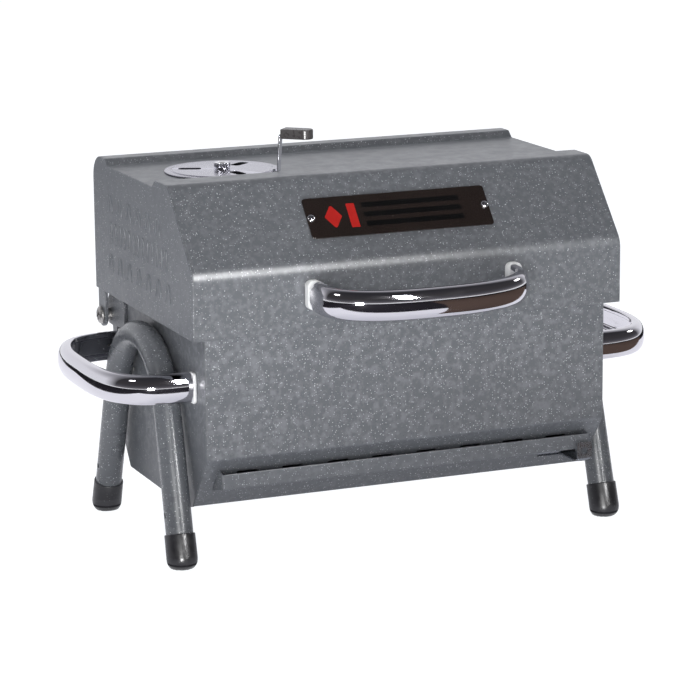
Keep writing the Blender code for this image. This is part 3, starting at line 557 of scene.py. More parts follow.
vent_low, vent_high = box("vent_disc")
vent_mid = (vent_low + vent_high) / 2
VENT_X, VENT_Y = vent_mid.x, vent_mid.y
VENT_R = (vent_high.x - vent_low.x) / 2


SLOT_DEG = 37.4


def radial_slots(inner, outer, width):
    """Three rounded slots pointing away from the vent's middle, as (X, Y) outlines."""
    outlines = []
    for k in range(3):
        spin = Matrix.Rotation(math.radians(SLOT_DEG + 120 * k), 2)
        outline = rounded(outer - inner, width, 3.0, ((inner + outer) / 2, 0.0))
        outlines.append([spin @ Vector(p) + Vector((VENT_X, VENT_Y)) for p in outline])
    return outlines


lid_cuts = [slab(o, PLATE_Z - 8, PLATE_Z + 8, "XYZ") for o in radial_slots(18.5, 41.5, 12.0)]
shell_end = END_OUT - SHEET
piece(
    "lid_shell",
    slab(lid_section, -shell_end, shell_end),
    LID_COAT,
    "lid",
    ["lid_wrap"],
    cuts=lid_cuts,
    bevel=0.3,
    segments=2,
)


def stroke(centre, length, width, height, lean):
    """A soft raised stroke on the plane x = 0, rising towards +X, its centre given as (Y, Z)."""
    made = bmesh.new()
    rings = []
    for level in range(5):
        share = level / 4
        size = math.cos(share * math.pi / 2) if level < 4 else 0.0
        row = []
        for k in range(16):
            angle = 2 * math.pi * k / 16
            u = width / 2 * size * math.cos(angle)
            v = (length / 2 - width / 2 * (1 - size)) * math.sin(angle)
            spin = Matrix.Rotation(lean, 2) @ Vector((u, v))
            lift = height * math.sin(share * math.pi / 2)
            row.append(made.verts.new((lift, centre[0] + spin.x, centre[1] + spin.y)))
        rings.append(row)
    for low, high in zip(rings, rings[1:]):
        for k in range(16):
            j = (k + 1) % 16
            made.faces.new((low[k], low[j], high[j], high[k]))
    made.faces.new(rings[0])
    made.faces.new(rings[-1])
    return made


RIB_MIDDLE_Y = (lid_low.y + lid_high.y) / 2 + 8.0
RIB_LOW_Z, RIB_MIDDLE_Z, RIB_HIGH_Z = 245.6, 274.6, 301.6
PAIRS, PAIR_PITCH, PAIR_GAP, PAIR_LEAN = 7, 27.0, 8.8, 0.28
BARS, BAR_PITCH = 13, 13.0


def emboss():
    """Three rows of plain pressed ribs: leaning pairs above and below, upright bars between."""
    strokes = []
    for z in (RIB_LOW_Z, RIB_HIGH_Z):
        for k in range(PAIRS):
            y = RIB_MIDDLE_Y + (k - (PAIRS - 1) / 2) * PAIR_PITCH
            if z == RIB_HIGH_Z and y < lid_low.y + RIDGE_FRONT + 3.3:
                continue
            for side in (-1, 1):
                centre = (y + side * PAIR_GAP / 2, z)
                strokes.append(stroke(centre, 18.0, 3.4, 0.95, side * PAIR_LEAN))
    for k in range(BARS):
        y = RIB_MIDDLE_Y + (k - (BARS - 1) / 2) * BAR_PITCH
        strokes.append(stroke((y, RIB_MIDDLE_Z), 21.0, 3.0, 1.0, 0.0))
    return strokes


for side, sign in SIDES:
    panel = slab(lid_line, 0.0, SHEET)
    relief = join(*emboss())
    bmesh.ops.translate(relief, verts=relief.verts, vec=(SHEET - 0.15, 0.0, 0.0))
    for part in (panel, relief):
        for vert in part.verts:
            vert.co.x = sign * (shell_end + vert.co.x)
    piece("lid_panel_" + side, panel, COAT, "lid", ["lid_end_" + side], bevel=1.0, segments=4)
    piece("lid_panel_ribs_" + side, relief, COAT, "lid", smooth=60)

# ================================================================ nameplate
slope_down = Vector((0.0, -math.cos(SLOPE), -math.sin(SLOPE)))
slope_out = Vector((0.0, slope_down.z, -slope_down.y))
plate_low, plate_high = box("nameplate")
plate_mid = (plate_low + plate_high) / 2
PLATE_T = 1.6
plate_face = plate_mid + slope_out * PLATE_T / 2


def on_slope(made):
    """Moves a shape drawn flat about the origin onto the nameplate's face."""
    turn = Matrix((X, -slope_down, slope_out)).transposed().to_4x4()
    stand = Matrix.Translation(plate_face) @ turn
    bmesh.ops.transform(made, matrix=stand, verts=made.verts)
    return made


PLATE_HEIGHT, MARK_T, MARK_HALF = 42.0, 0.12, 12.5
plate = slab(rounded(plate_high.x - plate_low.x, PLATE_HEIGHT, 3.0), -PLATE_T, 0.0, "XYZ")
piece("name_plate", on_slope(plate), PLATE, "lid", ["nameplate"], bevel=0.35)
diamond = closed_fillet([(0, -MARK_HALF), (8.5, 0), (0, MARK_HALF), (-8.5, 0)], [1.5] * 4, 4)
diamond = [(p.x - 64.0, p.y) for p in diamond]
piece("plate_diamond", on_slope(slab(diamond, 0.0, MARK_T, "XYZ")), ACCENT, "lid")
bar = rounded(8.0, 2 * MARK_HALF, 0.8, (-45.0, 0.0))
piece("plate_bar", on_slope(slab(bar, 0.0, MARK_T, "XYZ")), ACCENT, "lid")
bands = [slab(rounded(96.0, 5.2, 0.8, (14.0, v)), 0.0, MARK_T, "XYZ") for v in (-9.9, 0.0, 9.9)]
piece("plate_bands", on_slope(join(*bands)), INSET, "lid")


def cross(width, reach, depth, base, axis, spin):
    """Cutter for a cross recess at base, looking out along axis."""
    tools = []
    for turn in (0.0, math.pi / 2):
        blade = slab(rounded(reach, width, width * 0.3, segments=3), -depth, 6.0, "XYZ")
        stand = Matrix.Translation(base) @ turn_to(axis) @ Matrix.Rotation(spin + turn, 4, "Z")
        bmesh.ops.transform(blade, matrix=stand, verts=blade.verts)
        tools.append(blade)
    return tools


def pan_head(radius, height, base, axis, steps=40):
    """Domed screw head standing on base."""
    profile = [(0.0, -0.8), (radius * 0.9, -0.8), (radius * 0.97, 0.0), (radius, height * 0.22)]
    for k in range(1, 9):
        angle = math.pi / 2 * k / 9
        rise = height * (0.22 + 0.78 * math.sin(angle))
        profile.append((radius * math.cos(angle) ** 0.75, rise))
    profile.append((0.0, height))
    return lathe(profile, steps, base, axis)


for side, _ in SIDES:
    low, high = box("nameplate_screw_" + side)
    spot = plate_face + X * ((low.x + high.x) / 2)
    head = pan_head(3.6, 2.1, spot, slope_out, 32)
    recess = cross(0.9, 4.2, -0.9, spot, slope_out, 0.5)
    name = "plate_screw_" + side
    piece(name, head, BRIGHT, "lid", ["nameplate_screw_" + side], cuts=recess, smooth=50)

# ================================================================ chrome handles
BAR_STEPS, BULGE, BAR_DEPTH, BAR_LIP = 40, 0.6, 11.2, -5.0


def bar_section(height):
    """Channel section of the handle bars: bulging outer face, rounded lips, open inside."""
    top = height / 2
    outer = []
    for k in range(BAR_STEPS + 1):
        angle = math.pi * (k / BAR_STEPS - 0.5)
        outer.append(Vector((BAR_LIP + BAR_DEPTH * abs(math.cos(angle)) ** BULGE, top * math.sin(angle))))
    inner = [(-6.2, top - 0.6), (-6.2, 9.0), (-1.6, 7.6), (-1.6, -7.6), (-6.2, -9.0), (-6.2, 0.6 - top)]
    line = fillet([outer[-2]] + [outer[-1]] + inner + [outer[0]], [0.6, 0.5, 1.6, 2.0, 2.0, 1.6, 0.5], 5)
    return [tuple(p) for p in outer[1:-1] + line[1:-1]]


def even_bow(half, reach, power, count, lead):
    """Evenly spaced points of a rounded bow with straight leads, and the outward directions."""
    fine = []
    for k in range(2001):
        angle = math.pi * k / 2000
        c, s = math.cos(angle), math.sin(angle)
        along = half * math.copysign(abs(c) ** (2 / power), c)
        fine.append(Vector((along, reach * abs(s) ** (2 / power) + lead)))
    fine = [Vector((half, 0.0))] + fine + [Vector((-half, 0.0))]
    lengths = [0.0]
    for a, b in zip(fine, fine[1:]):
        lengths.append(lengths[-1] + (b - a).length)
    points = []
    i = 0
    for k in range(count + 1):
        want = lengths[-1] * k / count
        while i < len(fine) - 2 and lengths[i + 1] < want:
            i += 1
        share = (want - lengths[i]) / max(1e-9, lengths[i + 1] - lengths[i])
        points.append(fine[i].lerp(fine[i + 1], min(1.0, share)))
    outs = []
    for k in range(count + 1):
        ahead = points[min(k + 1, count)] - points[max(k - 1, 0)]
        outs.append(Vector((ahead.y, -ahead.x)).normalized())
    outs[0], outs[-1] = Vector((1.0, 0.0)), Vector((-1.0, 0.0))
    return points, outs


def bow_handle(name, node, body, bow, height, base, along, out, up):
    """Handle bar bent along a bow of (half width, reach, power), from the point between its feet."""
    points, outs = even_bow(*bow, 150, 2.0)
    spots = [base + along * p.x + out * p.y for p in points]
    sides = [(along * d.x + out * d.y).normalized() for d in outs]
    made = sweep(spots, sides, [up] * len(spots), bar_section(height))
    return piece(name, made, CHROME, body, [node], smooth=50)


FRONT_DROOP = math.radians(5.0)
front_left = box("front_spacer_left")
front_half = -(front_left[0].x + front_left[1].x) / 2
front_z = (front_left[0].z + front_left[1].z) / 2 - 1.3
front_out = Vector((0.0, -math.cos(FRONT_DROOP), -math.sin(FRONT_DROOP)))
front_up = Vector((0.0, -math.sin(FRONT_DROOP), math.cos(FRONT_DROOP)))
front_base = Vector((0.0, front_left[0].y - 1.8, front_z))
front_bow = (front_half, 47.3, 2.55)
bow_handle("lid_handle", "front_handle", "lid", front_bow, 28.0, front_base, X, front_out, front_up)

for side, sign in SIDES:
    pair = [box("side_spacer_%s_%s" % (end, side)) for end in ENDS]
    mids = [(low + high) / 2 for low, high in pair]
    side_y = (mids[0].y + mids[1].y) / 2
    bow = (abs(mids[1].y - mids[0].y) / 2, 71.2, 3.0)
    face = pair[0][1].x if sign > 0 else pair[0][0].x
    base = Vector((face + sign * 0.3, side_y, mids[0].z))
    name = "side_handle_" + side
    bow_handle("carry_handle_" + side, name, "firebox", bow, 27.2, base, Y, sign * X, Z)
    for end in ENDS:
        name = "side_spacer_%s_%s" % (end, side)
        low, high = box(name)
        middle = ((low.y + high.y) / 2, (low.z + high.z) / 2)
        outline = rounded(high.y - low.y, high.z - low.z, 3.8, middle, 8)
        piece("cap_" + name, slab(outline, low.x, high.x), WHITE, "firebox", [name], bevel=0.9)
    name = "front_spacer_" + side
    low, high = box(name)
    middle = ((low.x + high.x) / 2, (low.z + high.z) / 2)
    outline = rounded(high.x - low.x, high.z - low.z, 5.0, middle, 8)
    piece("cap_" + name, slab(outline, low.y, high.y, "XZY"), WHITE, "lid", [name], bevel=0.9)

# ================================================================ firebox
wrap_low, wrap_high = box("firebox_wrap")
BOX_END = box("firebox_end_right")[1].x
END_BOTTOM = box("firebox_end_right")[0].z
CHAMFER_RUN = 39.5
KNEE_RISE = 51.8
front, back = wrap_low.y, wrap_high.y
floor_z, knee = wrap_low.z, wrap_low.z + KNEE_RISE
box_line = fillet(
    [
        (front, wrap_high.z),
        (front, knee),
        (front + CHAMFER_RUN, floor_z),
        (back - CHAMFER_RUN, floor_z),
        (back, knee),
        (back, wrap_high.z),
    ],
    [4.0] * 4,
    10,
)
box_section = box_line + offset_line(box_line, SHEET)[::-1]
chamfer_down = Vector((CHAMFER_RUN, -KNEE_RISE)).normalized()
chamfer_in = Vector((-chamfer_down.y, chamfer_down.x))


def on_chamfer(along, depth):
    """Point in YZ on the front chamfer: along from its upper edge, depth inwards."""
    return Vector((front, knee)) + chamfer_down * along + chamfer_in * depth


def chamfer_block(x0, x1, along0, along1, depth0, depth1):
    corners = [(along0, depth0), (along1, depth0), (along1, depth1), (along0, depth1)]
    return slab([on_chamfer(*corner) for corner in corners], x0, x1)


AIR_SLOTS, AIR_PITCH, AIR_HALF = 8, 44.0, 10.0
TRAVEL = 22.0
slots = []
for k in range(AIR_SLOTS):
    x = AIR_PITCH * (k - (AIR_SLOTS - 1) / 2)
    slots.append(chamfer_block(x - AIR_HALF, x + AIR_HALF, 19.0, 38.0, -2.0, 4.0))
tab_low, tab_high = box("air_slide_tab")
slots.append(chamfer_block(tab_low.x - TRAVEL - 1.0, tab_high.x + 1.0, 45.2, 50.6, -2.0, 4.0))
piece(
    "box_shell",
    slab(box_section, -BOX_END + SHEET, BOX_END - SHEET),
    COAT,
    "firebox",
    ["firebox_wrap"],
    cuts=slots,
    bevel=0.3,
    segments=2,
)

drop = (floor_z - END_BOTTOM) * CHAMFER_RUN / KNEE_RISE
end_outline = closed_fillet(
    [
        (front, wrap_high.z),
        (front, knee),
        (front + CHAMFER_RUN, floor_z),
        (front + 58.0, END_BOTTOM),
        (back - CHAMFER_RUN - drop, END_BOTTOM),
        (back, knee),
        (back, wrap_high.z),
    ],
    [0.5, 4.0, 2.0, 6.0, 3.0, 4.0, 0.5],
)
for side, sign in SIDES:
    low, high = sorted((sign * (BOX_END - SHEET), sign * BOX_END))
    panel = slab(end_outline, low, high)
    piece("box_panel_" + side, panel, COAT, "firebox", ["firebox_end_" + side], bevel=0.8, segments=4)

# ================================================================ air inlet
louvre_low, louvre_high = box("air_louvre")
LOUVRE = louvre_high.x
LIP_TOP, LIP_FOOT = 88.8, 75.2
lip_y = louvre_low.y
crest = on_chamfer(14.0, -0.3)
heel = on_chamfer(43.5, -0.3)
trough = closed_fillet([crest, (lip_y, LIP_TOP), (lip_y, LIP_FOOT), heel], [0.4, 0.8, 1.8, 0.4])
floor_run = (heel - Vector((lip_y, LIP_FOOT))).normalized()
start = Vector((lip_y + SHEET, LIP_FOOT + SHEET * (floor_run.y + 1.0) / floor_run.x))
far = start + floor_run * 60.0
hollow = [start, far, far + Vector((0.0, 60.0)), Vector((start.x, 140.0))]
piece(
    "louvre",
    slab(trough, -LOUVRE, LOUVRE),
    COAT,
    "firebox",
    ["air_louvre"],
    cuts=[slab(hollow, -LOUVRE + SHEET, LOUVRE - SHEET)],
    bevel=0.35,
)

TAB_LOW, TAB_HIGH, TAB_CORNER = 65.2, 82.8, 5.0
tab_front = tab_low.y
slide_depth = 2 * SHEET + 0.6
tab_line = fillet(
    [
        on_chamfer(39.5, slide_depth),
        on_chamfer(48.6, slide_depth),
        Vector((front + 21.0, TAB_LOW)),
        Vector((tab_front, TAB_LOW)),
        Vector((tab_front, TAB_HIGH)),
    ],
    [1.0, 1.5, 3.0],
    8,
)
tab_outline = tab_line + offset_line(tab_line, SHEET)[::-1]
tab_mid = (tab_low.x + tab_high.x) / 2
window = slab(rounded(6.4, 6.0, 1.4, (tab_mid, TAB_LOW + 9.0)), tab_front - 3, tab_front + 9, "XZY")


def tab_corner(sign):
    """Cutter that rounds off a lower corner of the tab's face."""
    edge = tab_mid + sign * (tab_high.x - tab_low.x) / 2
    outline = []
    for k in range(9):
        angle = math.pi / 2 * k / 8
        inset, rise = 1 - math.sin(angle), 1 - math.cos(angle)
        outline.append((edge - sign * TAB_CORNER * inset, TAB_LOW + TAB_CORNER * rise))
    outline.append((edge + sign, TAB_LOW + TAB_CORNER))
    outline.append((edge + sign, TAB_LOW - 3.0))
    outline.append((edge - sign * TAB_CORNER, TAB_LOW - 3.0))
    return slab(outline, tab_front - 3, tab_front + 5.5, "XZY")


cover_start = tab_low.x - TRAVEL - 2.0
cover = chamfer_block(cover_start, tab_low.x + 0.5, 44.9, 52.0, SHEET + 0.4, SHEET + 1.2)
piece(
    "slide_tab",
    join(slab(tab_outline, tab_low.x, tab_high.x), cover),
    DULL,
    "slide",
    ["air_slide_tab"],
    cuts=[window, tab_corner(-1), tab_corner(1)],
    bevel=0.3,
)

# ================================================================ legs and feet
TUBE_R, TUBE_WALL = 12.5, 1.6
ARCH_R, ARCH_Z = 71.5, 121.1
SPLAY, LEG_LEAN = 0.2996, 0.018
LEG_TOP_X, LEG_END_Z, DRAIN_AT = 209.9, 8.0, 40.4
FOOT_R, FOOT_LIP = 14.2, 22.9
leg_y = sum(corner.y for corner in box("leg_left")) / 2
leg_dir = Vector((SPLAY, -1.0)).normalized()


def leg_path():
    """The arch in (Y, Z): from the rear foot up over the top to the front foot."""
    angle = math.atan(SPLAY)
    tangent = Vector((ARCH_R * math.cos(angle), ARCH_Z + ARCH_R * math.sin(angle)))
    foot = tangent + leg_dir * ((tangent.y - LEG_END_Z) / -leg_dir.y)
    rise = [foot.lerp(tangent, k / 6) for k in range(6)]
    crown = []
    for k in range(41):
        turn = angle + (math.pi - 2 * angle) * k / 40
        crown.append(Vector((ARCH_R * math.cos(turn), ARCH_Z + ARCH_R * math.sin(turn))))
    return rise + crown + [Vector((-p.x, p.y)) for p in rise[::-1]]


def foot_profile():
    """Rubber cup turned about the tube: domed toe, slightly tapered wall, thin rolled lip."""
    rim = [(FOOT_R - 0.2, FOOT_LIP - 0.9), (FOOT_R - 0.35, FOOT_LIP - 0.3), (FOOT_R - 0.7, FOOT_LIP)]
    bore = [(TUBE_R + 0.15, FOOT_LIP), (TUBE_R + 0.15, -0.3), (0.0, -0.3)]
    toe = []
    for k in range(12):
        angle = math.pi / 2 * k / 12
        toe.append((FOOT_R * math.sin(angle) ** 0.8, 1.0 - 12.0 * math.cos(angle) ** 0.9))
    return toe + [(FOOT_R, 1.0)] + rim + bore


arch = leg_path()
for side, sign in SIDES:
    lean = Vector((-sign, 0.0, -LEG_LEAN)).normalized()
    spots = []
    for p in arch:
        x = sign * (LEG_TOP_X + (ARCH_Z + ARCH_R - p.y) * LEG_LEAN)
        spots.append(Vector((x, p.x + leg_y, p.y)))
    last = len(spots) - 1
    alongs = [(spots[min(i + 1, last)] - spots[max(i - 1, 0)]).normalized() for i in range(last + 1)]
    ins = [(lean - a * lean.dot(a)).normalized() for a in alongs]
    ups = [a.cross(b) for a, b in zip(alongs, ins)]
    tube = sweep(spots, ins, ups, circle(TUBE_R, 48), circle(TUBE_R - TUBE_WALL, 48))
    drains = []
    bore = [(0, 0), (2.6, 0), (2.6, 20), (0, 20)]
    for end in ENDS:
        toe, next_spot = (spots[-1], spots[-2]) if end == "front" else (spots[0], spots[1])
        axis = (next_spot - toe).normalized()
        drains.append(lathe(bore, 24, toe + axis * DRAIN_AT, X * sign))
        name = "foot_%s_%s" % (end, side)
        cup = lathe(foot_profile(), 64, toe, axis)
        for vert in cup.verts:
            vert.co.z = max(0.0, vert.co.z)
        piece("rubber_" + name, cup, RUBBER, "firebox", [name], smooth=50)
    piece("leg_tube_" + side, tube, TUBE_COAT, "firebox", ["leg_" + side], cuts=drains, smooth=50)

# ================================================================ hinges
HEAD_T, STEM_R = 4.4, 3.0
for side, sign in SIDES:
    out = X * sign
    low, high = box("hinge_leaf_" + side)
    leaf = [
        (low.y, low.z + 5.1),
        (low.y + 22.0, low.z + 5.1),
        (low.y + 23.0, low.z),
        (low.y + 35.5, low.z),
        (low.y + 35.5, low.z + 3.7),
        (high.y, low.z + 3.7),
        (high.y, high.z - 10.0),
        (high.y - 7.5, high.z),
        (low.y, high.z),
    ]
    outline = closed_fillet(leaf, [2.0, 0.8, 0.8, 2.0, 0.8, 7.0, 7.0, 3.0, 5.0], 6)
    name = "hinge_leaf_" + side
    piece("body_" + name, slab(outline, low.x, high.x), COAT, "firebox", [name], bevel=0.5)

    screw_low, screw_high = box("hinge_screw_" + side)
    pin = (screw_low + screw_high) / 2
    low, high = box("hinge_bracket_" + side)
    round_r = pin.z - low.z
    outline = [(high.y - 1.1, high.z), (high.y - 1.1, pin.z + 3.0)]
    for k in range(1, 25):
        angle = math.pi * k / 24
        outline.append((pin.y + round_r * math.cos(angle), pin.z - round_r * math.sin(angle)))
    outline += [(low.y, high.z - 4.0), (low.y + 3.8, high.z)]
    name = "hinge_bracket_" + side
    piece("lid_" + name, slab(outline, low.x, high.x), COAT, "lid", [name], bevel=0.5)

    tip = screw_high.x if sign > 0 else -screw_low.x
    shank = tip - (screw_high.x - screw_low.x)
    head_at = tip - HEAD_T
    head_base = Vector((sign * head_at, pin.y, pin.z))
    head = pan_head(8.6, HEAD_T, head_base, out, 56)
    profile = [(0, shank), (STEM_R, shank), (STEM_R, head_at + 0.5), (0, head_at + 0.5)]
    stem = lathe(profile, 24, (0, pin.y, pin.z), out)
    recess = cross(1.7, 9.2, -2.4, head_base, out, 0.6)
    name = "hinge_screw_" + side
    piece("pivot_" + name, head, ZINC, "firebox", [name], cuts=recess, smooth=50)
    piece("pivot_stem_" + side, stem, ZINC, "firebox", smooth=50)

# ================================================================ vent
disc_low = vent_low.z + 0.8
DISC_T = 1.2
disc_profile = fillet(
    [
        (3.4, disc_low),
        (46.0, disc_low),
        (48.0, disc_low - 0.8),
        (VENT_R, disc_low - 0.8),
        (VENT_R, disc_low + 0.4),
        (48.4, disc_low + 0.4),
        (46.4, disc_low + DISC_T),
        (3.4, disc_low + DISC_T),
    ],
    [1.5, 1.5, 0.4, 0.4, 1.2, 1.2],
    5,
)
disc = lathe([tuple(p) for p in disc_profile], 128, (VENT_X, VENT_Y, 0.0), Z)
disc_cuts = [slab(o, PLATE_Z - 8, PLATE_Z + 12, "XYZ") for o in radial_slots(19.5, 40.5, 10.0)]
piece("vent_plate", disc, NICKEL, "vent", ["vent_disc"], cuts=disc_cuts, bevel=0.25, segments=2)

NUT_R, NUT_LOBE, NUT_LOBES, NUT_STEPS = 7.2, 0.4, 16, 192
nut_low, nut_high = box("vent_nut")
lobes = []
for k in range(NUT_STEPS):
    angle = 2 * math.pi * k / NUT_STEPS
    radius = NUT_R + NUT_LOBE * math.cos(NUT_LOBES * angle)
    lobes.append((VENT_X + radius * math.cos(angle), VENT_Y + radius * math.sin(angle)))
nut_hole = lathe([(0, -5), (3.3, -5), (3.3, 20), (0, 20)], 32, (VENT_X, VENT_Y, nut_low.z), Z)
nut = slab(lobes, nut_low.z, nut_high.z, "XYZ")
piece("knurled_nut", nut, BRIGHT, "vent", ["vent_nut"], cuts=[nut_hole], bevel=0.5)

LEVER_TURN, LEVER_RISE, LEVER_HALF = math.radians(-42.0), 34.5, 4.0
radial = Vector((math.cos(LEVER_TURN), math.sin(LEVER_TURN), 0.0))
across = Vector((-radial.y, radial.x, 0.0))
vent_axis = Vector((VENT_X, VENT_Y, 0.0))
lever_foot = box("vent_lever")[0].z
lever_bends = [(50.2, 0.0), (56.6, 0.0), (58.9, LEVER_RISE), (69.6, LEVER_RISE)]
lever_line = fillet(lever_bends, [1.6, 1.6], 8)
lever_line = [Vector((p.x, lever_foot + p.y)) for p in lever_line]
lever = bmesh.new()
rows = []
for near, away in zip(lever_line, offset_line(lever_line, SHEET)):
    row = []
    for point, side in ((near, -1), (near, 1), (away, 1), (away, -1)):
        spot = vent_axis + radial * point.x + Z * point.y
        row.append(lever.verts.new(spot + across * (side * LEVER_HALF)))
    rows.append(row)
for low_row, high_row in zip(rows, rows[1:]):
    for i in range(4):
        j = (i + 1) % 4
        lever.faces.new((low_row[i], low_row[j], high_row[j], high_row[i]))
lever.faces.new(rows[0])
lever.faces.new(rows[-1])
piece("lever_strip", lever, BRIGHT, "vent", ["vent_lever"], bevel=0.3, segments=2)

rivet_low, rivet_high = box("vent_rivet")
rivet_mid = (rivet_low + rivet_high) / 2
rivet = pan_head(2.1, 1.2, Vector((rivet_mid.x, rivet_mid.y, rivet_high.z - 1.1)), Z, 24)
piece("lever_rivet", rivet, BRIGHT, "vent", ["vent_rivet"], smooth=50)

GRIP_START, GRIP_ROUND, GRIP_HALF = 60.6, 82.1, 7.5
grip_low, grip_high = box("vent_grip")
outline = [(GRIP_START, -GRIP_HALF), (GRIP_START, GRIP_HALF)]
for k in range(25):
    angle = math.pi / 2 - math.pi * k / 24
    outline.append((GRIP_ROUND + GRIP_HALF * math.cos(angle), GRIP_HALF * math.sin(angle)))
outline = [(vent_axis + radial * u + across * v).xy for u, v in outline]
grip = slab(outline, grip_low.z, grip_high.z, "XYZ")
piece("lever_grip", grip, GRIP, "vent", ["vent_grip"], bevel=0.9, segments=5)

# ================================================================ carried-over CAD parts
dress(BRIGHT, "vent_washer")
dress(ZINC, "vent_stud", "hinge_bush_left", "hinge_bush_right")
dress(GRATE, "charcoal_grate", "grid_rail_front", "grid_rail_rear", "slide_guide_left", "slide_guide_right")
dress(GRATE, "air_slide")
for side, _ in SIDES:
    dress(ZINC, "front_handle_screw_" + side)
    for end in ENDS:
        tail = "_%s_%s" % (end, side)
        dress(ZINC, "leg_bolt" + tail, "side_screw" + tail)
dress(GRID_CHROME, "cooking_grid")

# ================================================================ floor, light and camera
def paper():
    """White sweep lit from below like a light table, so that it stays even to the horizon."""
    look = Look("floor_paper", "speckled_coat", (0.20, 0.20, 0.20), 0.9)
    look.feed(look.mix(look.noise(2.0, 3.0), (0.19, 0.19, 0.19), (0.21, 0.21, 0.21)), "Base Color")
    look.set("Specular IOR Level", 0.0)
    look.set("Emission Color", (0.96, 0.98, 1.0, 1.0))
    look.set("Emission Strength", 1.02)
    return look.made


bpy.ops.mesh.primitive_grid_add(x_subdivisions=8, y_subdivisions=8, size=60.0)
floor = bpy.context.object
floor.name = "floor"
floor.location.z = -0.0004
floor.data.materials.append(paper())


def towards(azimuth, elevation):
    """Direction from the grill, its azimuth measured from the front towards the right, in degrees."""
    a, e = math.radians(azimuth), math.radians(elevation)
    return Vector((math.sin(a) * math.cos(e), -math.cos(a) * math.cos(e), math.sin(e)))


def softbox(name, azimuth, elevation, distance, width, height, power, mirrored=True, lights=True):
    """Rectangular area light aimed at the grill.

    If mirrored it shows in shiny surfaces, and if it lights it falls on matt ones.
    """
    way = towards(azimuth, elevation)
    light = bpy.data.lights.new(name, "AREA")
    light.shape = "RECTANGLE"
    light.size, light.size_y = width, height
    light.energy = power
    obj = bpy.data.objects.new(name, light)
    obj.location = Z * 0.2 + way * distance
    obj.rotation_euler = way.to_track_quat("Z", "Y").to_euler()
    obj.visible_glossy, obj.visible_diffuse = mirrored, lights
    bpy.context.scene.collection.objects.link(obj)


softbox("top_light", -165.0, 70.0, 1.9, 1.2, 1.0, 18.0, mirrored=False)
softbox("left_fill", -26.0, 8.0, 1.9, 1.0, 0.4, 15.0, mirrored=False)
softbox("knee_light", 12.0, 27.0, 2.2, 0.26, 0.95, 52.0, lights=False)
softbox("left_light", -68.0, 40.0, 2.2, 0.4, 0.3, 3.0)
softbox("leg_light", -25.0, -1.5, 2.4, 0.40, 0.28, 60.0, lights=False)
softbox("right_light", 88.0, 30.0, 2.2, 0.4, 0.3, 4.0)


def card(name, width, depth, place, tint, mirrored, turn=0.0, glow=0.0):
    """Level card that the camera doesn't see: shiny surfaces see it if mirrored, matt ones if not."""
    bpy.ops.mesh.primitive_grid_add(x_subdivisions=4, y_subdivisions=4, size=1.0)
    obj = bpy.context.object
    obj.name = name
    obj.scale = (width, depth, 1.0)
    obj.location = place
    obj.rotation_euler.z = math.radians(turn)
    look = Look(name, "speckled_coat", tint, 0.9)
    look.set("Emission Color", (*tint, 1.0))
    look.set("Emission Strength", glow)
    look.feed(look.mix(look.noise(3.0, 2.0), tint, tuple(1.3 * c for c in tint)), "Base Color")
    look.set("Specular IOR Level", 0.0)
    obj.data.materials.append(look.made)
    obj.visible_camera = False
    obj.visible_shadow = False
    obj.visible_glossy = mirrored
    obj.visible_diffuse = not mirrored


card("room_floor", 8.0, 8.0, (0.0, 0.0, 0.004), (0.030, 0.028, 0.034), True)
card("bright_floor", 1.7, 2.5, (0.20, 0.77, 0.006), (0.60, 0.60, 0.63), True, glow=0.9)
card("brown_floor", 1.8, 1.8, (1.254, -0.798, 0.008), (0.150, 0.105, 0.085), True, turn=20.0)
card("under_card", 0.56, 0.46, (0.0, -0.08, 0.012), (0.10, 0.11, 0.13), False)
card("front_glow", 1.6, 1.2, (-0.20, -1.00, 0.002), (0.96, 0.98, 1.00), False, glow=2.0)


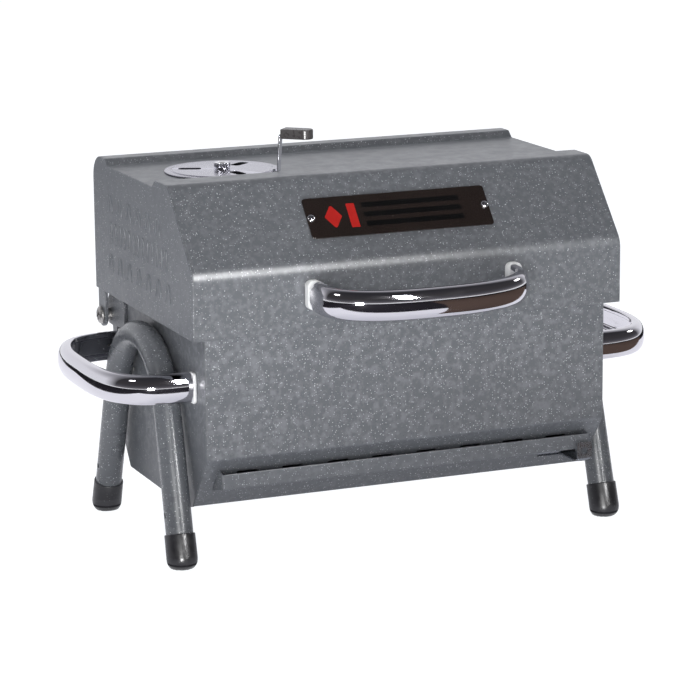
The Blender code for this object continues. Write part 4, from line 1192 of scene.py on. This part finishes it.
def studio_world():
    """A pale backdrop behind the grill, and a room that is dark above eye level in front of it."""
    world = bpy.data.worlds.new("studio")
    bpy.context.scene.world = world
    world.use_nodes = True
    tree = world.node_tree
    tree.nodes.clear()

    def add(kind):
        return tree.nodes.new(kind)

    def fade(source, steps):
        """Grey values along the source, as (place, value) steps."""
        ramp = add("ShaderNodeValToRGB")
        tree.links.new(source, ramp.inputs["Fac"])
        band = ramp.color_ramp
        band.elements[0].position, band.elements[1].position = steps[0][0], steps[-1][0]
        for place, _ in steps[1:-1]:
            band.elements.new(place)
        for element, (_, tint) in zip(band.elements, steps):
            element.color = (*tint, 1.0)
        return ramp.outputs["Color"]

    where, parts = add("ShaderNodeTexCoord"), add("ShaderNodeSeparateXYZ")
    tree.links.new(where.outputs["Generated"], parts.inputs["Vector"])
    height = parts.outputs["Z"]
    room = fade(
        height,
        [
            (0.00, (0.30, 0.29, 0.29)),
            (0.05, (0.16, 0.15, 0.16)),
            (0.13, (0.08, 0.08, 0.09)),
            (0.30, (0.055, 0.052, 0.055)),
            (1.00, (0.035, 0.035, 0.040)),
        ],
    )
    sweep_up = fade(
        height,
        [
            (0.00, (0.95, 0.96, 1.00)),
            (0.35, (0.90, 0.90, 0.94)),
            (0.60, (0.55, 0.55, 0.58)),
            (0.85, (0.25, 0.25, 0.27)),
            (1.00, (0.12, 0.12, 0.13)),
        ],
    )
    behind = fade(parts.outputs["Y"], [(0.05, (0.0,) * 3), (0.45, (1.0,) * 3)])
    whole = add("ShaderNodeMix")
    whole.data_type = "RGBA"
    tree.links.new(behind, whole.inputs["Factor"])
    tree.links.new(room, whole.inputs[6])
    tree.links.new(sweep_up, whole.inputs[7])

    rays, choose = add("ShaderNodeLightPath"), add("ShaderNodeMixShader")
    walls, plain = add("ShaderNodeBackground"), add("ShaderNodeBackground")
    plain.inputs["Color"].default_value = (1.0, 1.0, 1.0, 1.0)
    tree.links.new(whole.outputs[2], walls.inputs["Color"])
    tree.links.new(rays.outputs["Is Camera Ray"], choose.inputs["Fac"])
    tree.links.new(walls.outputs["Background"], choose.inputs[1])
    tree.links.new(plain.outputs["Background"], choose.inputs[2])
    tree.links.new(choose.outputs["Shader"], add("ShaderNodeOutputWorld").inputs["Surface"])


studio_world()

AZIMUTH, ELEVATION, ROLL = -22.5948, 12.6411, math.radians(-0.488)
CAMERA_PLACE, LENS = (-1.0578, -2.4983, 0.7748), 152.62
camera = bpy.data.cameras.new("camera")
camera.sensor_width = 36.0
camera.lens = LENS
camera.clip_end = 200.0
camera_obj = bpy.data.objects.new("camera", camera)
bpy.context.scene.collection.objects.link(camera_obj)
bpy.context.scene.camera = camera_obj
back_dir = towards(AZIMUTH, ELEVATION)
right = Z.cross(back_dir).normalized()
up = back_dir.cross(right)
camera_right = right * math.cos(ROLL) + up * math.sin(ROLL)
camera_up = up * math.cos(ROLL) - right * math.sin(ROLL)
turn = Matrix((camera_right, camera_up, back_dir)).transposed().to_4x4()
camera_obj.matrix_world = Matrix.Translation(CAMERA_PLACE) @ turn

bpy.context.scene.view_settings.view_transform = "Standard"
